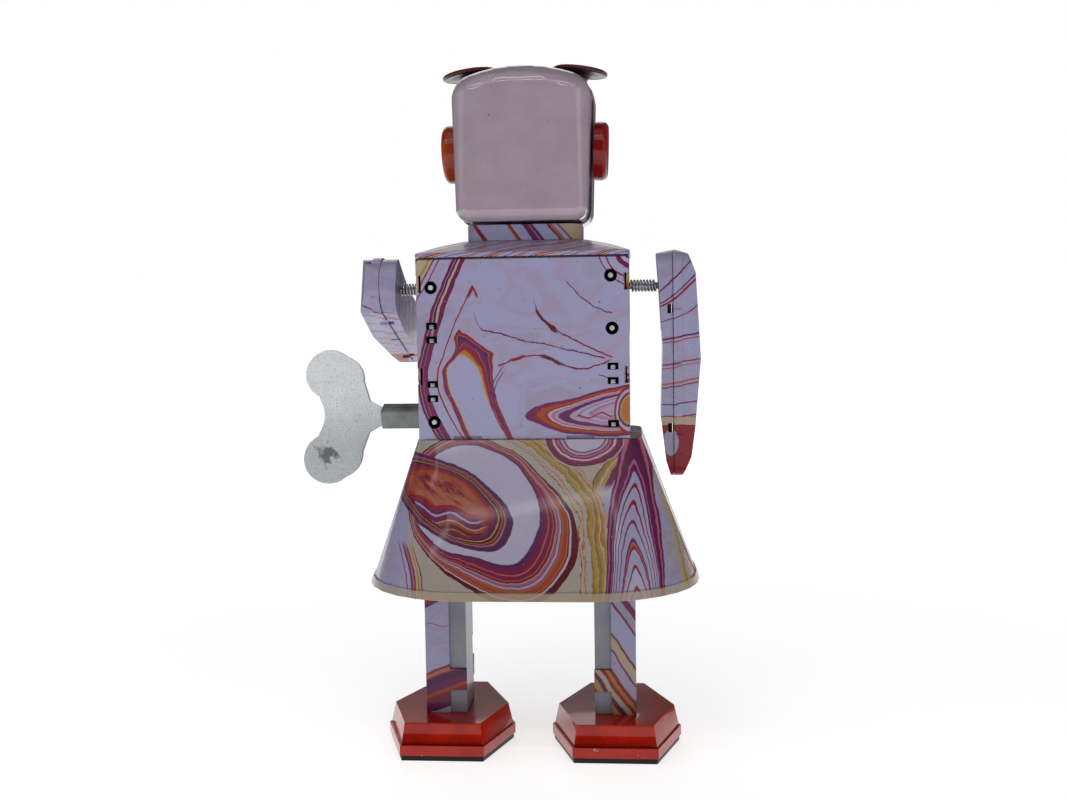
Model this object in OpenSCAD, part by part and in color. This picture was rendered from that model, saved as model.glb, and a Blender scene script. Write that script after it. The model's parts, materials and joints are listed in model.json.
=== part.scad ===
// Wind-up tin robot with a flared skirt.
// The robot faces -Y, its left side is +X (the key side) and the floor is Z = 0.

/* [Tinplate] */
// Thickness of the pressed tinplate
tin = 0.5; // [0.4:0.05:0.6]

/* [Head] */
// Width of the head across its top corners
head_w = 28.4; // [28:0.1:30]
// Width of the head at its chin
head_chin_w = 26.8; // [26:0.1:28]
// Height of the head's lowest edge above the floor
head_z = 110.3; // [110:0.1:111]
// Height of the head shells
head_h = 31.3; // [31:0.1:33]
// Depth of the back cap
head_back_d = 13.4; // [12:0.1:14]
// Depth of the front shell
head_front_d = 12.6; // [12:0.1:14]
// Diameter of the round ears
ear_d = 12.1; // [11:0.1:13]
// Diameter of the dishes on top of the head
dish_d = 11.5; // [10:0.1:12]
// Tilt of the dishes, outer edge down
dish_tilt = 8; // [4:1:10]

/* [Torso] */
// Width of the torso
torso_w = 42.8; // [42.6:0.1:43.4]
// Depth of the torso
torso_d = 28; // [27.6:0.1:28.4]
// Height of the torso's lower edge above the floor
torso_z = 66.4; // [66.4:0.1:66.6]
// Height of the torso's upper edge above the floor
torso_top_z = 103.0; // [102.8:0.1:103.2]
// Width of the neck
neck_w = 23.6; // [22:0.1:24]

/* [Skirt] */
// Width of the skirt at its waist
waist_w = 45.8; // [45.6:0.1:46.4]
// Depth of the skirt at its waist
waist_d = 29.2; // [29:0.1:29.6]
// Width of the skirt at its hem
hem_w = 68.8; // [68:0.1:70]
// Depth of the skirt at its hem
hem_d = 50.8; // [49:0.1:52]
// Height of the hem above the floor
hem_z = 35.7; // [35:0.1:36]

/* [Arms] */
// Height of the arm pivots above the floor
shoulder_z = 97; // [96.8:0.1:97.2]
// How far the left arm is raised forward at rest
left_raise = 70; // [60:1:75]
// Depth of an arm, front to back
arm_d = 11; // [10:0.1:11.5]
// Outer diameter of the arm springs
spring_d = 2.7; // [2.6:0.05:2.8]

/* [Legs] */
// Distance of each leg's middle from the robot's middle
leg_x = 17.8; // [17.6:0.1:18]
// Width of a leg
leg_w = 8.6; // [8.4:0.1:8.8]
// Depth of a leg, front to back
leg_d = 12; // [11.8:0.1:12.2]
// Distance of a leg's middle behind the robot's middle
leg_y = 2.3; // [2.2:0.1:2.4]
// Height of the hip pivots above the floor
hip_z = 60; // [59.8:0.1:60.2]
// Height of a foot's upper face above the floor
foot_top_z = 7.7; // [7.4:0.1:8]

/* [Key] */
// Height of the winding axis above the floor
key_z = 70; // [69.8:0.1:70.2]
// Span of the key plate across its two lobes
key_span = 29; // [27:0.5:29]
// Thickness of the key plate
key_t = 1.6; // [1.2:0.1:2]
// Width of the square key shaft
key_shaft_w = 4.3; // [4:0.1:4.4]

/* [Clockwork] */
// Module of all the gear teeth
gear_m = 0.5; // [0.5:0.01:0.5]
// Teeth on the great wheel
great_teeth = 40; // [40:1:40]
// Teeth on the second wheel
second_teeth = 30; // [30:1:30]
// Teeth on each pinion
pinion_teeth = 10; // [10:1:10]
// Throw of the leg cranks
crank_r = 1.4; // [1.2:0.1:1.4]
// Height of the crank shaft above the floor
crank_z = 50; // [49.9:0.1:50.1]

/* [Hidden] */
$fn = 48;
hull_fn = 28;

lilac = "#bdb3d6";
pale_pink = "#cbb9c6";
crimson = "#c3302c";
bare_tin = "#b9bcc0";
steel = "#8f9498";
brass = "#c4a04a";
black = "#1c1b1c";

// running clearance of a shaft in its hole, and a gap between pieces that only meet
run = 0.05;
gap = 0.1;

// half sizes of the torso
half_w = torso_w / 2;
half_d = torso_d / 2;
waist_z = torso_z - gap;

// places along X of the frames
plate_x = 9;
plate_t = 0.8;
frame_x = 18.5;
flange_y = half_d - 2.8;
flange_w = 2.1;

// places of the clockwork's shafts in the YZ plane
key_yz = [0, key_z];
crank_yz = [leg_y, crank_z];
great_r = great_teeth * gear_m / 2;
second_r = second_teeth * gear_m / 2;
pinion_r = pinion_teeth * gear_m / 2;
wheel_tip = 0.31;
pinion_tip = 0.5;
root_gap = 0.12;
great_reach = great_r + pinion_r;
second_reach = second_r + pinion_r;
to_crank = crank_yz - key_yz;
crank_dist = norm(to_crank);
foot_of_arbor = (great_reach * great_reach - second_reach * second_reach
    + crank_dist * crank_dist) / (2 * crank_dist);
arbor_side = sqrt(great_reach * great_reach - foot_of_arbor * foot_of_arbor);
down_train = to_crank / crank_dist;
second_yz = key_yz + foot_of_arbor * down_train
    + arbor_side * [-down_train[1], down_train[0]];
key_to_second = heading(second_yz - key_yz);
second_to_crank = heading(crank_yz - second_yz);
governor_turn = 4 * 360 / second_teeth;
second_to_governor = second_to_crank - governor_turn;
governor_yz = second_yz + second_reach * unit(second_to_governor);

// shaft radii
arbor_r = 1.25;
shaft_r = 0.75;
crank_shaft_r = 1;
hip_r = 1;
axle_r = 0.7;
rod_r = 0.9;
pillar_r = 1.1;

function heading(v) = atan2(v[1], v[0]);
function unit(a) = [cos(a), sin(a)];

// ---------- shared shapes ----------

// rounded rectangle with true arcs, centred
module round_rect(w, d, r) {
    square([w - 2 * r, d], center = true);
    square([w, d - 2 * r], center = true);
    for (sx = [-1, 1], sy = [-1, 1])
        translate([sx * (w / 2 - r), sy * (d / 2 - r)]) circle(r = r);
}

// a flat shape drawn in (Y, Z), given thickness from x0 to x1
module along_x(x0, x1) {
    translate([x0, 0, 0]) rotate([90, 0, 90]) linear_extrude(x1 - x0) children();
}

// a flat shape drawn in (X, Z), given thickness from y0 to y1
module along_y(y0, y1) {
    translate([0, y1, 0]) rotate([90, 0, 0]) linear_extrude(y1 - y0) children();
}

module rod_x(yz, r, x0, x1) {
    translate([x0, yz[0], yz[1]]) rotate([0, 90, 0]) cylinder(r = r, h = x1 - x0);
}

module rod_y(x, z, r, y0, y1) {
    translate([x, y1, z]) rotate([90, 0, 0]) cylinder(r = r, h = y1 - y0);
}

// a box given by its lowest and highest corners
module block(lo, hi) {
    translate(lo) cube(hi - lo);
}

// the same piece on the robot's right side
module right_side() {
    mirror([1, 0, 0]) children();
}

// ---------- head ----------

head_top_z = head_z + head_h;
head_corner_r = 5;
chin_r = 2.6;
crown_rise = 1.5;

// height of the crown's arc at a fraction u of the way from the middle to a corner
function crown_z(u) = head_top_z - head_corner_r - crown_rise * u * u;

// one half of the head, solid, from Y = 0 to its depth, grown by g
module head_solid(depth, g) {
    top_x = head_w / 2 - head_corner_r;
    chin_x = head_chin_w / 2 - chin_r;
    hull() {
        for (u = [-1 : 0.25 : 1]) {
            translate([u * top_x, depth - head_corner_r - 0.4 * u * u, crown_z(u)])
                sphere(r = head_corner_r + g, $fn = hull_fn);
            translate([u * top_x, 0.01, crown_z(u)])
                rotate([90, 0, 0]) cylinder(r = head_corner_r + g, h = 0.01, $fn = hull_fn);
        }
        for (s = [-1, 1]) {
            translate([s * chin_x, depth - chin_r - 0.4, head_z + chin_r])
                sphere(r = chin_r + g, $fn = hull_fn);
            translate([s * chin_x, 0.01, head_z + chin_r])
                rotate([90, 0, 0]) cylinder(r = chin_r + g, h = 0.01, $fn = hull_fn);
        }
    }
}

module head_back_cap() {
    color(pale_pink) difference() {
        head_solid(head_back_d, 0);
        head_solid(head_back_d, -tin);
        block([-head_w, -1, 0], [head_w, 0.05, 200]);
    }
}

front_lip = 0.45;

module head_front_shell() {
    color(pale_pink) difference() {
        mirror([0, 1, 0]) head_solid(head_front_d, front_lip);
        mirror([0, 1, 0]) head_solid(head_front_d, front_lip - tin);
        block([-head_w, 0, 0], [head_w, 1, 200]);
        for (s = [-1, 1]) rod_x([ear_y, ear_z], ear_hole_r, s * head_w / 2 - 4, s * head_w / 2 + 4);
    }
}

// the sides of the head lean outward to the top, and the ears sit square on them
ear_z = head_z + 15;
ear_y = -1.6;
ear_out = 2.9;
ear_hole_r = 1.2;
ear_round = 1.3;
head_lean = atan((head_w - head_chin_w) / 2 / (head_h - head_corner_r - crown_rise - chin_r));
ear_x = head_chin_w / 2 + (ear_z - head_z - chin_r) * tan(head_lean)
    + (front_lip + gap) / cos(head_lean);

module ear_profile(r, h, c) {
    square([r - c, h]);
    square([r, h - c]);
    translate([r - c, h - c]) circle(r = c);
}

// pressed cap whose stub passes through the side of the head
module ear_cap() {
    translate([ear_x, ear_y, ear_z]) rotate([0, 90 + head_lean, 0]) {
        rotate_extrude() difference() {
            ear_profile(ear_d / 2, ear_out, ear_round);
            translate([0, -0.01]) ear_profile(ear_d / 2 - tin, ear_out - tin, ear_round - tin);
        }
        translate([0, 0, -1.6]) cylinder(r = ear_hole_r - run, h = ear_out + 1.4);
    }
}

module left_ear_cap() {
    color(crimson) ear_cap();
}

module right_ear_cap() {
    color(crimson) right_side() ear_cap();
}

dish_x = 11.6;
dish_z = head_top_z + 0.1;
rim_r = 0.5;
dish_sag = 0.9;

// shallow dish with a rolled rim, on a tapered foot that reaches into the head
module top_dish() {
    bowl_r = (dish_d * dish_d / 4 + dish_sag * dish_sag) / (2 * dish_sag);
    translate([dish_x, -1.5, dish_z]) rotate([0, dish_tilt, 0]) {
        rotate_extrude() {
            translate([dish_d / 2 - rim_r, 0]) circle(r = rim_r);
            intersection() {
                translate([0, bowl_r - dish_sag]) difference() {
                    circle(r = bowl_r + 0.2, $fn = 200);
                    circle(r = bowl_r - 0.2, $fn = 200);
                }
                translate([0, -dish_sag - 1]) square([dish_d / 2 - rim_r, dish_sag + 1.2]);
            }
        }
        translate([0, 0, -dish_sag - 2.2]) cylinder(r1 = 1.2, r2 = 2, h = 2.1);
    }
}

module left_top_dish() {
    color(crimson) difference() {
        top_dish();
        mirror([0, 1, 0]) head_solid(head_front_d, front_lip + 0.02);
    }
}

module right_top_dish() {
    color(crimson) right_side() difference() {
        top_dish();
        mirror([0, 1, 0]) head_solid(head_front_d, front_lip + 0.02);
    }
}

neck_d = 17;
neck_r = 4;
neck_z = 106.5;

module neck_collar() {
    color(lilac) translate([0, 0, neck_z]) linear_extrude(head_z - front_lip - 0.05 - neck_z)
        difference() {
            round_rect(neck_w, neck_d, neck_r);
            round_rect(neck_w - 2 * tin, neck_d - 2 * tin, neck_r - tin);
        }
}

// ---------- torso ----------

cap_skirt_h = 0.9;

// shallow dome built from three stacked outlines, shrunk by g
module cap_solid(g) {
    hull() {
        translate([0, 0, torso_top_z + gap]) linear_extrude(cap_skirt_h)
            round_rect(torso_w + 0.5 - 2 * g, torso_d + 0.5 - 2 * g, 1.6 - g, $fn = hull_fn);
        translate([0, 0, 105.4 - g]) linear_extrude(0.01)
            round_rect(36 - 2 * g, 21 - 2 * g, 3, $fn = hull_fn);
        translate([0, 0, neck_z - 0.01 - g]) linear_extrude(0.01)
            round_rect(26 - 2 * g, 18 - 2 * g, 4, $fn = hull_fn);
    }
}

module torso_top_cap() {
    color(lilac) difference() {
        cap_solid(0);
        cap_solid(tin);
        translate([0, 0, torso_top_z]) linear_extrude(gap + 0.02)
            square([torso_w * 2, torso_d * 2], center = true);
    }
}

// fittings on the back panel, as [X, Z]
pin_places = [[18.4, 97.1], [-17.8, 99], [-18, 88.5], [18.2, 69.9]];
lug_places = [[18.4, 89.4], [18.4, 86.6], [18.4, 77.6], [18.4, 74.7],
    [-18.1, 80.9], [-18.1, 78], [-18.1, 69.4]];
edge_slots = [97.8, 79.2];
pin_hole_r = 1.3;
pin_r = 0.5;
lug_w = 2.2;
lug_h = 1.4;
edge_slot_h = 3.4;
foot_tab_x = 11.4;
foot_tab_w = 5.6;

module torso_back_panel() {
    fold = 1.8;
    inner = half_w - tin - gap;
    color(lilac) difference() {
        union() {
            block([-half_w, half_d - tin, torso_z], [half_w, half_d, torso_top_z]);
            for (s = [-1, 1])
                block([s * inner - tin / 2 - s * tin / 2, half_d - fold, torso_z + 1],
                    [s * inner + tin / 2 - s * tin / 2, half_d - tin / 2, torso_top_z - 1]);
            block([-inner, half_d - fold, torso_top_z - tin], [inner, half_d - tin / 2, torso_top_z]);
            for (s = [-1, 1])
                block([s * foot_tab_x - foot_tab_w / 2, half_d - 2 * tin, torso_z - 2],
                    [s * foot_tab_x + foot_tab_w / 2, half_d - tin, torso_z + 2]);
        }
        for (p = pin_places) rod_y(p[0], p[1], pin_hole_r, half_d - 3, half_d + 1);
        for (p = lug_places)
            block([p[0] - lug_w / 2, half_d - 3, p[1] - lug_h / 2],
                [p[0] + lug_w / 2, half_d + 1, p[1] + lug_h / 2]);
        for (s = [-1, 1], z = edge_slots)
            block([s * half_w - 1, half_d - 3, z - edge_slot_h / 2],
                [s * half_w + 1, half_d + 1, z + edge_slot_h / 2]);
        for (s = [-1, 1])
            block([s * foot_tab_x - foot_tab_w / 2, half_d - tin - 0.01, torso_z - 3],
                [s * foot_tab_x + foot_tab_w / 2, half_d + 1, torso_z + 0.7]);
    }
}

key_hole_r = 3.5;

module torso_front_shell() {
    corner = 2;
    color(lilac) difference() {
        union() {
            translate([0, 0, torso_z]) linear_extrude(torso_top_z - torso_z) difference() {
                round_rect(torso_w, torso_d, corner);
                round_rect(torso_w - 2 * tin, torso_d - 2 * tin, corner - tin);
                translate([-torso_w, half_d - corner]) square([2 * torso_w, torso_d]);
            }
            for (s = [-1, 1])
                block([s * (half_w - tin / 2) - tin / 2, half_d - corner - 0.5, torso_z],
                    [s * (half_w - tin / 2) + tin / 2, half_d - tin - 0.05, torso_top_z]);
            for (s = [-1, 1], z = edge_slots)
                block([s * (half_w - tin / 2) - tin / 2, half_d - 1, z - 1.1],
                    [s * (half_w - tin / 2) + tin / 2, half_d - 0.25, z + 1.1]);
        }
        rod_x([0, shoulder_z], axle_r + 0.3, -30, 30);
        rod_x(key_yz, key_hole_r, half_w - 3, half_w + 3);
    }
}

// folded bracket behind each side wall: plate, rear flange and the lugs that fix the back panel
module side_frame(lugs) {
    top_z = 101.5;
    low_z = torso_z + 0.5;
    difference() {
        union() {
            block([frame_x - plate_t / 2, -half_d + 1, low_z],
                [frame_x + plate_t / 2, flange_y + plate_t, top_z]);
            block([frame_x - flange_w, flange_y, low_z], [frame_x + flange_w, flange_y + plate_t, top_z]);
            block([frame_x - flange_w, -half_d + 1, low_z],
                [frame_x + flange_w, -half_d + 1 + plate_t, top_z]);
            for (p = lugs)
                block([abs(p[0]) - 0.45, flange_y, p[1] - lug_h / 2 + 0.1],
                    [abs(p[0]) + 0.45, half_d - 0.1, p[1] + lug_h / 2 - 0.5]);
        }
        rod_x([0, shoulder_z], axle_r + run, 10, 30);
        rod_x(key_yz, key_hole_r, 10, 30);
        for (s = [-1, 1]) rod_x([s * rod_y_place, rod_z_place], rod_r + run, 10, 30);
    }
}

module left_side_frame() {
    color(bare_tin) side_frame([for (p = lug_places) if (p[0] > 0) p]);
}

module right_side_frame() {
    color(bare_tin) right_side() side_frame([for (p = lug_places) if (p[0] < 0) p]);
}

// rivets that show in the round holes of the back panel
module frame_pins() {
    color(bare_tin) for (p = pin_places)
        rod_y(p[0], p[1], pin_r, flange_y + plate_t, half_d + 0.1);
}

// ---------- clockwork ----------

rod_y_place = 8;
rod_z_place = 83;
pillar_places = [[-5, 47.8], [6.7, 47.5]];

module mounting_rods() {
    reach = frame_x + plate_t / 2 + 0.4;
    color(steel) for (s = [-1, 1]) rod_x([s * rod_y_place, rod_z_place], rod_r, -reach, reach);
}

module motor_plate() {
    along_x(plate_x, plate_x + plate_t) difference() {
        polygon([[-10.6, 85.5], [10.6, 85.5], [10.6, 53], [7.6, 46], [-5.6, 46], [-10.6, 53]]);
        translate(key_yz) circle(r = arbor_r + run);
        translate(crank_yz) circle(r = crank_shaft_r + run);
        translate(second_yz) circle(r = shaft_r + run);
        translate(governor_yz) circle(r = shaft_r + run);
        translate([leg_y, hip_z]) circle(r = hip_r - 0.2);
        for (p = pillar_places) translate(p) circle(r = 0.7);
        for (s = [-1, 1]) translate([s * rod_y_place, rod_z_place]) circle(r = rod_r + run);
        translate([0, 78.5]) circle(r = 4.2);
    }
}

module left_motor_plate() {
    color(steel) motor_plate();
}

module right_motor_plate() {
    color(steel) right_side() motor_plate();
}

module motor_pillars() {
    color(steel) for (p = pillar_places) {
        rod_x(p, pillar_r, -plate_x, plate_x);
        rod_x(p, 0.65, -plate_x - plate_t - 0.3, plate_x + plate_t + 0.3);
    }
}

// flat steel strip coiled into a spiral round the arbor
spring_turns = 6;
spring_step = 30;
spring_in_r = 2;
spring_out_r = 9.6;
strip_t = 0.35;

function spiral_r(a) = spring_in_r + (spring_out_r - spring_in_r) * a / (360 * spring_turns);

module mainspring() {
    angles = [0 : spring_step : 360 * spring_turns];
    outer = [for (a = angles) key_yz + (spiral_r(a) + strip_t) * unit(a)];
    inner = [for (a = angles) key_yz + spiral_r(a) * unit(a)];
    reversed = [for (i = [len(inner) - 1 : -1 : 0]) inner[i]];
    color("#6d7684") along_x(-5.5, 0.5) polygon(concat(outer, reversed));
}

// involute teeth, each flank drawn through three radii
pressure = 20;
backlash = 0.12;

function inv(a) = tan(a) * 180 / PI - a;

function half_tooth(r, teeth) = let (pitch_r = teeth * gear_m / 2, base_r = pitch_r * cos(pressure))
    90 / teeth * (1 - backlash) + inv(pressure) - inv(acos(min(1, base_r / r)));

module gear_shape(teeth, tip, mating_tip, phase) {
    pitch_r = teeth * gear_m / 2;
    root_r = pitch_r - mating_tip - root_gap;
    base_r = max(root_r, pitch_r * cos(pressure));
    tip_r = pitch_r + tip;
    rings = [root_r, base_r, (base_r + tip_r) / 2, tip_r];
    polygon([for (i = [0 : teeth - 1], side = [-1, 1], k = [0 : 3])
        let (r = rings[side < 0 ? k : 3 - k], c = phase + i * 360 / teeth)
        r * unit(c + side * half_tooth(max(r, base_r), teeth))]);
}

// the pinion's gap faces the wheel that drives it
function pinion_phase(toward_pinion) = toward_pinion + 180 + 180 / pinion_teeth;

module winding_arbor() {
    color(steel) {
        rod_x(key_yz, arbor_r, -plate_x - plate_t - 0.5, 13.2);
        along_x(13.2, 27) translate(key_yz) rotate(key_turn) square(2.3, center = true);
    }
}

great_x = [6, 7.2];

module great_wheel() {
    color(brass) along_x(great_x[0], great_x[1]) translate(key_yz) difference() {
        gear_shape(great_teeth, wheel_tip, pinion_tip, key_to_second);
        circle(r = arbor_r + 0.01);
        for (i = [0 : 3]) rotate(45 + 90 * i) translate([5.6, 0]) circle(r = 1.7);
    }
}

second_x = [-8.2, -7];

module second_arbor() {
    color(steel) {
        rod_x(second_yz, shaft_r, -plate_x - plate_t - 0.3, plate_x + plate_t + 0.3);
        along_x(great_x[0] - 0.4, great_x[1] + 0.4) translate(second_yz)
            gear_shape(pinion_teeth, pinion_tip, wheel_tip, pinion_phase(key_to_second));
    }
}

module second_wheel() {
    color(brass) along_x(second_x[0], second_x[1]) translate(second_yz) difference() {
        gear_shape(second_teeth, wheel_tip, pinion_tip, second_to_crank);
        circle(r = shaft_r + 0.01);
        for (i = [0 : 3]) rotate(45 + 90 * i) translate([4, 0]) circle(r = 1.1);
    }
}

disc_x = 10.3;
disc_t = 1;

module crank_shaft() {
    color(steel) {
        rod_x(crank_yz, crank_shaft_r, -disc_x - disc_t, disc_x + disc_t);
        along_x(second_x[0] - 0.3, second_x[1] + 0.3) translate(crank_yz)
            gear_shape(pinion_teeth, pinion_tip, wheel_tip, pinion_phase(second_to_crank));
    }
}

// disc with an off-centre pin; the two sides stand half a turn apart
crank_pin_r = 0.6;

module crank(side) {
    mirror([side < 0 ? 1 : 0, 0, 0]) difference() {
        union() {
            rod_x(crank_yz, 3, disc_x, disc_x + disc_t);
            rod_x(crank_yz + side * [0, crank_r], crank_pin_r, disc_x, 15.3);
        }
        rod_x(crank_yz, crank_shaft_r + 0.01, disc_x - 1, disc_x + disc_t);
    }
}

module left_crank() {
    color(steel) crank(1);
}

module right_crank() {
    color(steel) crank(-1);
}

module governor_shaft() {
    color(steel) {
        rod_x(governor_yz, shaft_r, -plate_x - plate_t - 0.3, plate_x + plate_t + 0.3);
        along_x(second_x[0] - 0.3, second_x[1] + 0.3) translate(governor_yz)
            gear_shape(pinion_teeth, pinion_tip, wheel_tip, pinion_phase(second_to_governor));
    }
}

module governor_flywheel() {
    color(brass) along_x(1.8, 4.3) translate(governor_yz) difference() {
        circle(r = 3.5);
        circle(r = shaft_r + 0.01);
    }
}

// ---------- key ----------

key_turn = -20;
key_lean = 12;
key_shaft_x = [14.5, 31.6];
key_plate_x = 31.2;
key_out_x = 50.2;

// square tube folded from strip, with a seam groove along one face
module key_shaft() {
    w = key_shaft_w;
    color(bare_tin) along_x(key_shaft_x[0], key_shaft_x[1]) translate(key_yz) rotate(key_turn)
        difference() {
            round_rect(w, w, 0.5);
            square(2.4, center = true);
            translate([0.15, w / 2]) square([0.3, 1.4], center = true);
            translate([-0.9, w / 2]) square([0.25, 0.3], center = true);
            translate([1.1, w / 2]) square([0.25, 0.3], center = true);
        }
}

// flat plate with two round lobes joined by a waist, and a tongue into the shaft
module key_plate() {
    lobe_r = 5.4;
    lobe_x = key_out_x - lobe_r;
    lobe_z = key_span / 2 - lobe_r;
    color("#b3bbbf") translate([0, 0, key_z]) rotate([key_lean, 0, 0])
        along_y(-key_t / 2, key_t / 2) difference() {
            union() {
                for (s = [-1, 1]) translate([lobe_x - 1.6, s * lobe_z]) circle(r = lobe_r);
                for (s = [-1, 1]) translate([lobe_x - 3.6, s * (lobe_z - 1.2)]) circle(r = lobe_r);
                polygon([[key_plate_x + 0.4, -1.9], [key_plate_x + 3.2, -3.4],
                    [lobe_x - 8.7, -lobe_z + 0.6], [lobe_x + 0.6, -lobe_z + 4.2],
                    [lobe_x + 0.6, lobe_z - 4.2], [lobe_x - 8.7, lobe_z - 0.6],
                    [key_plate_x + 3.2, 3.4], [key_plate_x + 0.4, 1.9]]);
            }
            translate([lobe_x + 6.1, 0]) circle(r = 6.6);
        }
}

// ---------- arms ----------

arm_top_z = 104.4;
arm_low_z = 57;
arm_split = 30.4;
arm_inner = [[27, 103.6], [27.5, 97], [28.2, 84], [27.7, 70], [28.8, 60.5], [29.8, 57]];
arm_outer = [[32.2, 57], [34, 61.5], [34.8, 67.5], [36, 82], [35, 99.5], [33.6, 103.4], [30.7, 104.4]];

// the arm seen from behind, shrunk by g
module arm_front_view(g) {
    polygon(concat(
        [for (p = arm_inner) [p[0] + g, shrink_z(p[1], g)]],
        [for (p = arm_outer) [p[0] - g, shrink_z(p[1], g)]]));
}

arm_mid_z = (arm_top_z + arm_low_z) / 2;
arm_half_h = (arm_top_z - arm_low_z) / 2;

function shrink_z(z, g) = arm_mid_z + (z - arm_mid_z) * (1 - g / arm_half_h);

// the arm seen from the side, shrunk by g
wrist_z = 68;
hand_r = 4.9;
arc_step = 9;

module arm_side_view(g) {
    top_r = arm_d / 2 + 0.4;
    wrist_y = arm_d / 2 - 0.4 - g;
    polygon(concat(
        [for (a = [0 : arc_step : 180]) [0, arm_top_z - top_r] + (top_r - g) * unit(a)],
        [[-wrist_y, wrist_z]],
        [for (a = [180 : arc_step : 360]) [0, arm_low_z + hand_r] + (hand_r - g) * unit(a)],
        [[wrist_y, wrist_z]]));
}

module arm_solid(g) {
    intersection() {
        along_y(-20, 20) arm_front_view(g);
        along_x(20, 45) arm_side_view(g);
    }
}

// raised lip segments where the outer shell is folded over the cover, as [low Z, high Z]
lip_spans = [[94.6, 103.2], [81.5, 92], [69.6, 80.6], [62.2, 66.2]];
lip_w = 1.9;
lip_h = 0.35;
// slots in the cover's rim, by the height of their lower end
cover_slots = [91.2, 66.6];
cover_slot_h = 1.9;

module arm_outer_shell() {
    difference() {
        union() {
            difference() {
                arm_solid(0);
                block([20, -20, 0], [arm_split, 20, 200]);
            }
            intersection() {
                arm_solid(-lip_h);
                union() for (s = lip_spans)
                    block([arm_split, -20, s[0]], [arm_split + lip_w, 20, s[1]]);
            }
        }
        arm_solid(tin);
    }
}

module arm_inner_cover() {
    difference() {
        arm_solid(0);
        arm_solid(tin);
        block([arm_split - gap, -20, 0], [60, 20, 200]);
        rod_x([0, shoulder_z], axle_r + run, 20, 40);
        for (z = cover_slots) block([arm_split - 1.2, 0, z], [arm_split, 20, z + cover_slot_h]);
    }
}

// the left arm is held raised at rest
module raised() {
    translate([0, 0, shoulder_z]) rotate([-left_raise, 0, 0]) translate([0, 0, -shoulder_z])
        children();
}

module left_arm_outer_shell() {
    color(lilac) raised() arm_outer_shell();
}

module left_arm_inner_cover() {
    color(lilac) raised() arm_inner_cover();
}

module right_arm_outer_shell() {
    color(lilac) right_side() arm_outer_shell();
}

module right_arm_inner_cover() {
    color(lilac) right_side() arm_inner_cover();
}

module arm_axle() {
    reach = 29.4;
    color(steel) {
        rod_x([0, shoulder_z], axle_r, -reach, reach);
        for (s = [-1, 1])
            rod_x([0, shoulder_z], axle_r + 0.5, s * (reach - 0.3) - 0.3, s * (reach - 0.3) + 0.3);
    }
}

// helical spring on the axle between the torso and an arm
coil_turns = 8;
coil_steps = 12;
coil_sides = 6;
wire_r = 0.25;
coil_x = [half_w + wire_r + 0.05, 26.95];

module arm_spring() {
    path_r = spring_d / 2 - wire_r;
    rings = coil_turns * coil_steps;
    points = [for (i = [0 : rings], k = [0 : coil_sides - 1])
        let (a = 360 * i / coil_steps, b = 360 * k / coil_sides, r = path_r + wire_r * cos(b))
        [coil_x[0] + (coil_x[1] - coil_x[0]) * i / rings + wire_r * sin(b),
            r * cos(a), shoulder_z + r * sin(a)]];
    walls = [for (i = [0 : rings - 1], k = [0 : coil_sides - 1])
        let (n = (k + 1) % coil_sides, a = i * coil_sides, b = (i + 1) * coil_sides)
        [a + k, b + k, b + n, a + n]];
    start_cap = [for (k = [0 : coil_sides - 1]) k];
    end_cap = [for (k = [coil_sides - 1 : -1 : 0]) rings * coil_sides + k];
    polyhedron(points, concat(walls, [start_cap, end_cap]), convexity = 10);
}

module left_arm_spring() {
    color("#c9ccd0") arm_spring();
}

module right_arm_spring() {
    color("#c9ccd0") right_side() arm_spring();
}

// ---------- skirt ----------

flare_h = waist_z - hem_z;
waist_r = 4;
hem_r = 22;
skirt_shift = -0.8;
hem_band = 1.7;
seam_spans = [[36.2, 43], [48.2, 56.6], [58.6, 65]];

// the skirt's flared body between two heights, grown by g
module flare(z0, z1, g) {
    hull() for (z = [z0, z1]) let (t = (waist_z - z) / flare_h)
        translate([0, 0, z]) linear_extrude(0.001)
            round_rect(waist_w + (hem_w - waist_w) * t + 2 * g,
                waist_d + (hem_d - waist_d) * t + 2 * g,
                waist_r + (hem_r - waist_r) * t + g, $fn = hull_fn);
}

// both halves sit a little toward the robot's right, as the tabs' play lets them
module skirt_shell() {
    translate([skirt_shift, 0, 0]) difference() {
        union() {
            flare(hem_z, waist_z, 0);
            flare(hem_z, hem_z + hem_band, 0.3);
        }
        flare(hem_z - 1, waist_z - tin, -tin);
        translate([0, 0, waist_z - 2]) linear_extrude(4) square([40.4, 22.6], center = true);
        for (s = [-1, 1]) translate([-skirt_shift, 0, 0])
            block([s * foot_tab_x - foot_tab_w / 2 - 0.2, half_d - 3 * tin, waist_z - 3],
                [s * foot_tab_x + foot_tab_w / 2 + 0.2, half_d - 0.1, waist_z + 1]);
    }
}

module skirt_back() {
    color(lilac) difference() {
        skirt_shell();
        block([-50, -50, 0], [50, gap / 2, 100]);
        for (s = [-1, 1], span = seam_spans)
            block([s * 30 - 9, -1, span[0]], [s * 30 + 9, 0.75, span[1]]);
    }
}

module skirt_front() {
    color(lilac) difference() {
        skirt_shell();
        block([-50, -gap / 2, 0], [50, 50, 100]);
    }
}

// ---------- legs ----------

leg_low_z = foot_top_z + 0.02;
leg_high_z = 63.6;
leg_in_x = leg_x - leg_w / 2;
leg_out_x = leg_x + leg_w / 2;
leg_back_y = leg_y + leg_d / 2;
leg_front_y = leg_y - leg_d / 2;
leg_seam_x = leg_in_x + 3.5;
ankle_z = [12.6, 17.2];
hip_yz = [leg_y, hip_z];

module hip_pin() {
    rod_x(hip_yz, hip_r, plate_x + plate_t, 22.8);
    rod_x(hip_yz, hip_r - 0.25, plate_x + 0.05, plate_x + plate_t);
    rod_x(hip_yz, hip_r + 0.7, 22.3, 22.8);
    rod_x(hip_yz, hip_r + 0.9, 10, 13.2);
}

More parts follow.
